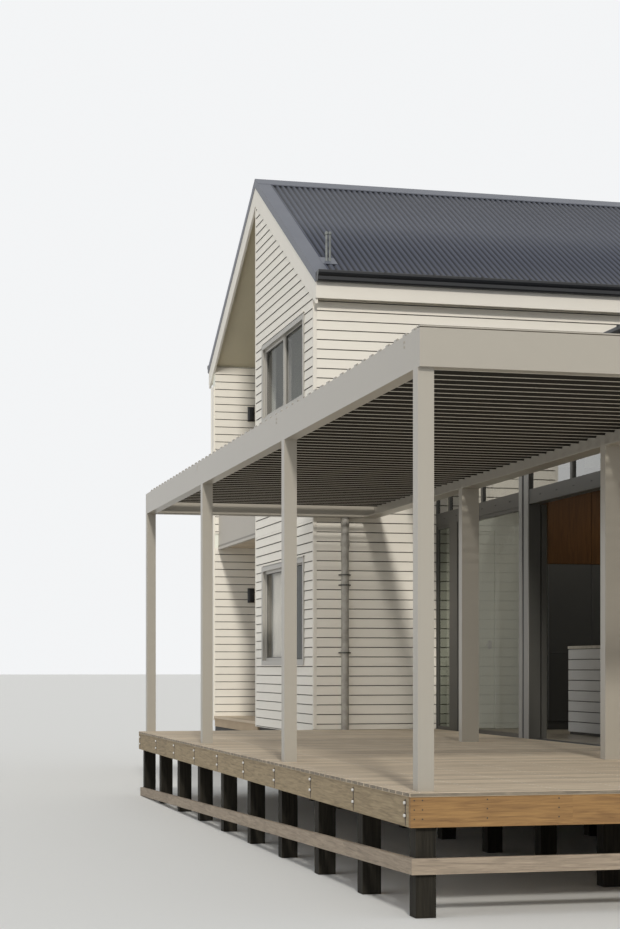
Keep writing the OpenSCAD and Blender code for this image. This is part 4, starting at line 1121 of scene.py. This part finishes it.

# the louvres' lower edges, lighter than the blades as a painted highlight, and end plates
print("dressing the pergola")
louvre = {"inset": 0.001, "lipBack": 0.009, "lipOut": 0.002, "lipDown": 0.003, "lipUp": 0.005, "plate": 0.010,
          "plateStart": 0.002, "plateWidth": 0.080, "plateFoot": 0.020, "plateRise": 0.005, "bevel": 0.003}
lips, plates = [], []
for low, high in looseBoxes("louvre_blades"):
    left, right = low.x + louvre["inset"], high.x - louvre["inset"]
    lips.append(((left, high.y - louvre["lipBack"], low.z - louvre["lipDown"]),
                 (right, high.y + louvre["lipOut"], low.z + louvre["lipUp"])))
    for start in (left, right - louvre["plate"]):
        plates.append(((start, low.y + louvre["plateStart"], low.z + louvre["plateFoot"]),
                       (start + louvre["plate"], low.y + louvre["plateWidth"], high.z + louvre["plateRise"])))
barPiece("louvre_lips", lips, "louvreLitEdge", bevel=louvre["bevel"])
barPiece("louvre_plates", plates, "pergolaPaint", bevel=louvre["bevel"])

# the front beam's capping on its spacers, and the bolts at the posts
capping = {"thick": 0.008, "raise": 0.006, "depth": 0.070, "start": 0.08, "pitch": 0.60, "spacer": 0.03,
           "spacerDepth": (0.020, 0.060)}
beamBolts = {"reach": 0.286, "levels": (0.195, 0.165), "sink": 0.001, "radius": 0.008, "depth": 0.006,
             "endGap": 0.1}
capFoot = beamHigh.z + capping["raise"]
bars = [((beamLow.x, beamLow.y, capFoot),
         (beamHigh.x, beamLow.y + capping["depth"], capFoot + capping["thick"]))]
x = beamLow.x + capping["start"]
near, far = [beamLow.y + depth for depth in capping["spacerDepth"]]
while x < beamHigh.x:
    bars.append(((x, near, beamHigh.z), (x + capping["spacer"], far, capFoot)))
    x += capping["pitch"]
barPiece("beam_capping", bars, "pergolaPaint")

bm = bmesh.new()
for low, high in looseBoxes("pergola_posts"):
    y = low.y + beamBolts["reach"]
    for level in beamBolts["levels"]:
        if y < beamHigh.y - beamBolts["endGap"]:
            spot = (beamLow.x - beamBolts["sink"], y, beamLow.z + level)
            addRound(bm, spot, beamBolts["radius"], beamBolts["depth"], 16, "X")
finishPiece("beam_bolts", bm, "pergolaPaint")

# battens and trims on the balcony's front
battens = {"pitch": 0.050, "width": 0.046, "start": 0.04, "out": 0.006, "foot": 0.066, "headGap": 0.02,
           "edge": 0.001, "band": 0.036, "bandOut": 0.015, "capDown": 0.015, "capUp": 0.012, "seamOut": 0.007}
low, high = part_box("balcony_panel")
bandX, start, end = low.x - battens["bandOut"], low.y + battens["edge"], high.y - battens["edge"]
bandTop, battenFoot = low.z + battens["band"], low.z + battens["foot"]
bars = []
count = int((high.y - low.y) / battens["pitch"])
for number in range(count):
    y = low.y + (number + battens["start"]) * (high.y - low.y) / count
    bars.append(((low.x - battens["out"], y, battenFoot),
                 (low.x, y + battens["width"], high.z - battens["headGap"])))
bars.append(((bandX, start, low.z), (low.x, end, bandTop)))
bars.append(((bandX, start, high.z - battens["capDown"]),
             (high.x + battens["bandOut"], end, high.z + battens["capUp"])))
barPiece("balcony_battens", bars, "panelMetal")
# a dark strip between the foot band and the battens: a painted shadow line
bars = [((low.x - battens["seamOut"], start, bandTop), (low.x, end, battenFoot))]
barPiece("balcony_shadow_line", bars, "jointShade")

# bolts, washers and stains on the deck's side, and nails in its front
print("bolting the deck")
bolting = {"levels": (0.064, 0.140), "washer": (0.021, 0.004, 14), "nut": (0.010, 0.024, 6), "stain": 0.013,
           "stainEnd": 0.0065, "stainLength": 0.045, "stainOut": 0.0006, "stainBack": 0.001, "footGap": 0.004,
           "pileStep": 0.01}
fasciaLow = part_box("deck_side_fascia")[0]
frontLow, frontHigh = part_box("deck_front_fascia")
pileBoxes = looseBoxes("deck_piles")
outerPile = min(low.x for low, high in pileBoxes)
bolts, stains = bmesh.new(), bmesh.new()


# a flat streak under a washer, narrower at its foot
def addStain(bm, y, z):
    wide, narrow = bolting["stain"], bolting["stainEnd"]
    bottom = max(z - bolting["washer"][0] - bolting["stainLength"], fasciaLow.z + bolting["footGap"])
    ring = [(y - wide, z), (y + wide, z), (y + narrow, bottom), (y - narrow, bottom)]
    start = [bm.verts.new((fasciaLow.x - bolting["stainOut"], a, b)) for a, b in ring]
    made = bmesh.ops.extrude_face_region(bm, geom=[bm.faces.new(start)])["geom"]
    moved = [vert for vert in made if isinstance(vert, bmesh.types.BMVert)]
    bmesh.ops.translate(bm, verts=moved, vec=(bolting["stainOut"] + bolting["stainBack"], 0, 0))


for low, high in pileBoxes:
    if low.x > outerPile + bolting["pileStep"]:
        continue
    for level in bolting["levels"]:
        y, z = (low.y + high.y) / 2, deckTop - level
        for target, name in ((stains, "washer"), (bolts, "nut")):
            addRound(target, (fasciaLow.x, y, z), *bolting[name], "X")
        addStain(stains, y, z)
finishPiece("deck_bolts", bolts, "zincMetal")
finishPiece("deck_stains", stains, "rustStain")

nails = {"pitch": 0.45, "start": 0.022, "drops": (0.045, 0.100, 0.155), "cornerStep": 0.05, "corner": 0.1,
         "radius": 0.0045, "depth": 0.003}
bm = bmesh.new()
x = frontLow.x + nails["start"]
while x < frontHigh.x:
    for drop in nails["drops"]:
        for side in ((0, nails["cornerStep"]) if x < frontLow.x + nails["corner"] else (0,)):
            addRound(bm, (x + side, frontLow.y, deckTop - drop), nails["radius"], nails["depth"], 8, "Y")
    x += nails["pitch"]
finishPiece("fascia_nails", bm, "sealBlack")

# the curtain hangs in pleats behind the lower gable window, looser towards its foot
print("hanging the curtain")
curtainPlan = {"depth": 0.021, "pleat": 0.094, "drift": 0.5, "driftRate": 9, "headShare": 0.75,
               "across": 0.006, "lines": 10, "thick": 0.0012}
low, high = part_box("curtain")
middleX = (low.x + high.x) / 2
bm = bmesh.new()
columns, lines = int((high.y - low.y) / curtainPlan["across"]), curtainPlan["lines"]
rings, flatWidth = [], 0
for line in range(lines + 1):
    z = low.z + (high.z - low.z) * line / lines
    looseness = curtainPlan["headShare"] + (1 - curtainPlan["headShare"]) * (1 - line / lines)
    ring = []
    for column in range(columns + 1):
        along = (high.y - low.y) * column / columns
        drift = curtainPlan["drift"] * math.sin(curtainPlan["driftRate"] * along)
        swing = math.sin(2 * math.pi * along / curtainPlan["pleat"] + drift)
        ring.append(bm.verts.new((middleX + curtainPlan["depth"] * swing * looseness, low.y + along, z)))
    rings.append(ring)
    flatWidth += sum((a.co - b.co).length for a, b in zip(ring, ring[1:])) / (lines + 1)
for lower, upper in zip(rings, rings[1:]):
    for i in range(columns):
        bm.faces.new((lower[i + 1], lower[i], upper[i], upper[i + 1]))
drape = finishPiece("curtain_drape", bm, "curtainCloth", smooth=True, faceOut=False)
solidify(drape, curtainPlan["thick"], 0.0)
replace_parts(drape, "curtain")

# a collar and clips on the downpipe
print("adding the small fittings")
pipe = {"collar": (2.17, 2.24), "collarOut": 0.003, "clipLevels": (0.91, 1.71, 1.83), "clipHeight": 0.014,
        "clipOut": 0.004, "clipEar": 0.024, "earThick": (0.008, 0.004)}
low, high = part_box("downpipe")
pipeRadius = (high.x - low.x) / 2
pipeX, pipeY = low.x + pipeRadius, low.y + pipeRadius
bm = bmesh.new()
foot, head = pipe["collar"]
addRound(bm, (pipeX, pipeY, deckTop + (foot + head) / 2), pipeRadius + pipe["collarOut"], head - foot, 32)
finishPiece("pipe_collar", bm, "pipePaint")
bm = bmesh.new()
boardFace, ear = nearY - cladding["reach"], pipeRadius + pipe["clipEar"]
for level in pipe["clipLevels"]:
    z = deckTop + level
    addRound(bm, (pipeX, pipeY, z), pipeRadius + pipe["clipOut"], pipe["clipHeight"], 32)
    addBar(bm, (pipeX - ear, boardFace - pipe["earThick"][0], z - pipe["clipHeight"] / 2),
           (pipeX + ear, boardFace + pipe["earThick"][1], z + pipe["clipHeight"] / 2))
finishPiece("pipe_clips", bm, "doorMetal")

# caps on the twin roof vent and the apron under it
vent = {"cap": 0.022, "capTip": 0.008, "capDepth": 0.02, "apronLength": 0.24, "apronSide": 0.05,
        "apronThick": 0.008, "apronRise": 0.026}
low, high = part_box("roof_vent")
ventY, pipeR = (low.y + high.y) / 2, (high.y - low.y) / 4
bm = bmesh.new()
for ventX in (low.x + pipeR * 2, high.x - pipeR * 2):
    for rise, topRadius in ((0, vent["cap"]), (vent["capDepth"], vent["capTip"])):
        addRound(bm, (ventX, ventY, high.z + rise), vent["cap"], vent["capDepth"], 20, topRadius=topRadius)
finishPiece("vent_caps", bm, "ventSteel")
bm = bmesh.new()
apronSize = (high.x - low.x + 2 * vent["apronSide"], vent["apronLength"], vent["apronThick"], 1)
apronPlace = Matrix.Translation(((low.x + high.x) / 2, ventY, tallTop(ventY) + vent["apronRise"]))
apronPlace = apronPlace @ Matrix.Rotation(tallPitch, 4, "X")
bmesh.ops.create_cube(bm, size=1, matrix=apronPlace @ Matrix.Diagonal(apronSize))
finishPiece("vent_apron", bm, "roofFlat")

# rounded bodies, back plates and lenses of the lamps
lamp = {"plateOut": 0.006, "plateSide": 0.012, "plateEnd": 0.02, "lens": 0.003, "lensSide": 0.012,
        "lensFront": 0.034, "round": 0.030, "roundSteps": 4, "frontNear": 0.001}
bodies, plates, lenses = bmesh.new(), [], []
for low, high in looseBoxes("wall_lights"):
    addBar(bodies, low, high)
    plates.append(((low.x - lamp["plateSide"], high.y - lamp["plateOut"], low.z - lamp["plateEnd"]),
                   (high.x + lamp["plateSide"], high.y, high.z + lamp["plateEnd"])))
    for bottom, top in ((low.z - lamp["lens"], low.z), (high.z, high.z + lamp["lens"])):
        lenses.append(((low.x + lamp["lensSide"], low.y + lamp["lensFront"], bottom),
                       (high.x - lamp["lensSide"], high.y - lamp["lensSide"], top)))
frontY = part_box("wall_lights")[0].y + lamp["frontNear"]
frontEdges = [edge for edge in bodies.edges if all(vert.co.y < frontY for vert in edge.verts)]
bevelEdges(bodies, lamp["round"], lamp["roundSteps"], frontEdges)
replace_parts(finishPiece("lamp_bodies", bodies, "lampBlack"), "wall_lights")
barPiece("lamp_plates", plates, "lampBlack")
barPiece("lamp_lenses", lenses, "lampLens")

print("setting the floor")
floorPlan = {"radius": 400.0, "sides": 96, "drop": 0.002, "color": (0.80, 0.80, 0.78, 1.0), "roughness": 0.9}
bm = bmesh.new()
bmesh.ops.create_circle(bm, cap_ends=True, segments=floorPlan["sides"], radius=floorPlan["radius"])
floorMesh = bpy.data.meshes.new("paleFloor")
bm.to_mesh(floorMesh)
bm.free()
floorMaterial, floorTree, floorShader = startMaterial("paleFloor", floorPlan["roughness"])[:3]
setInputs(floorTree, floorShader, {"Base Color": floorPlan["color"]})
floorMesh.materials.append(floorMaterial)
floor = addToScene("paleFloor", floorMesh)
floor.location.z = -floorPlan["drop"]
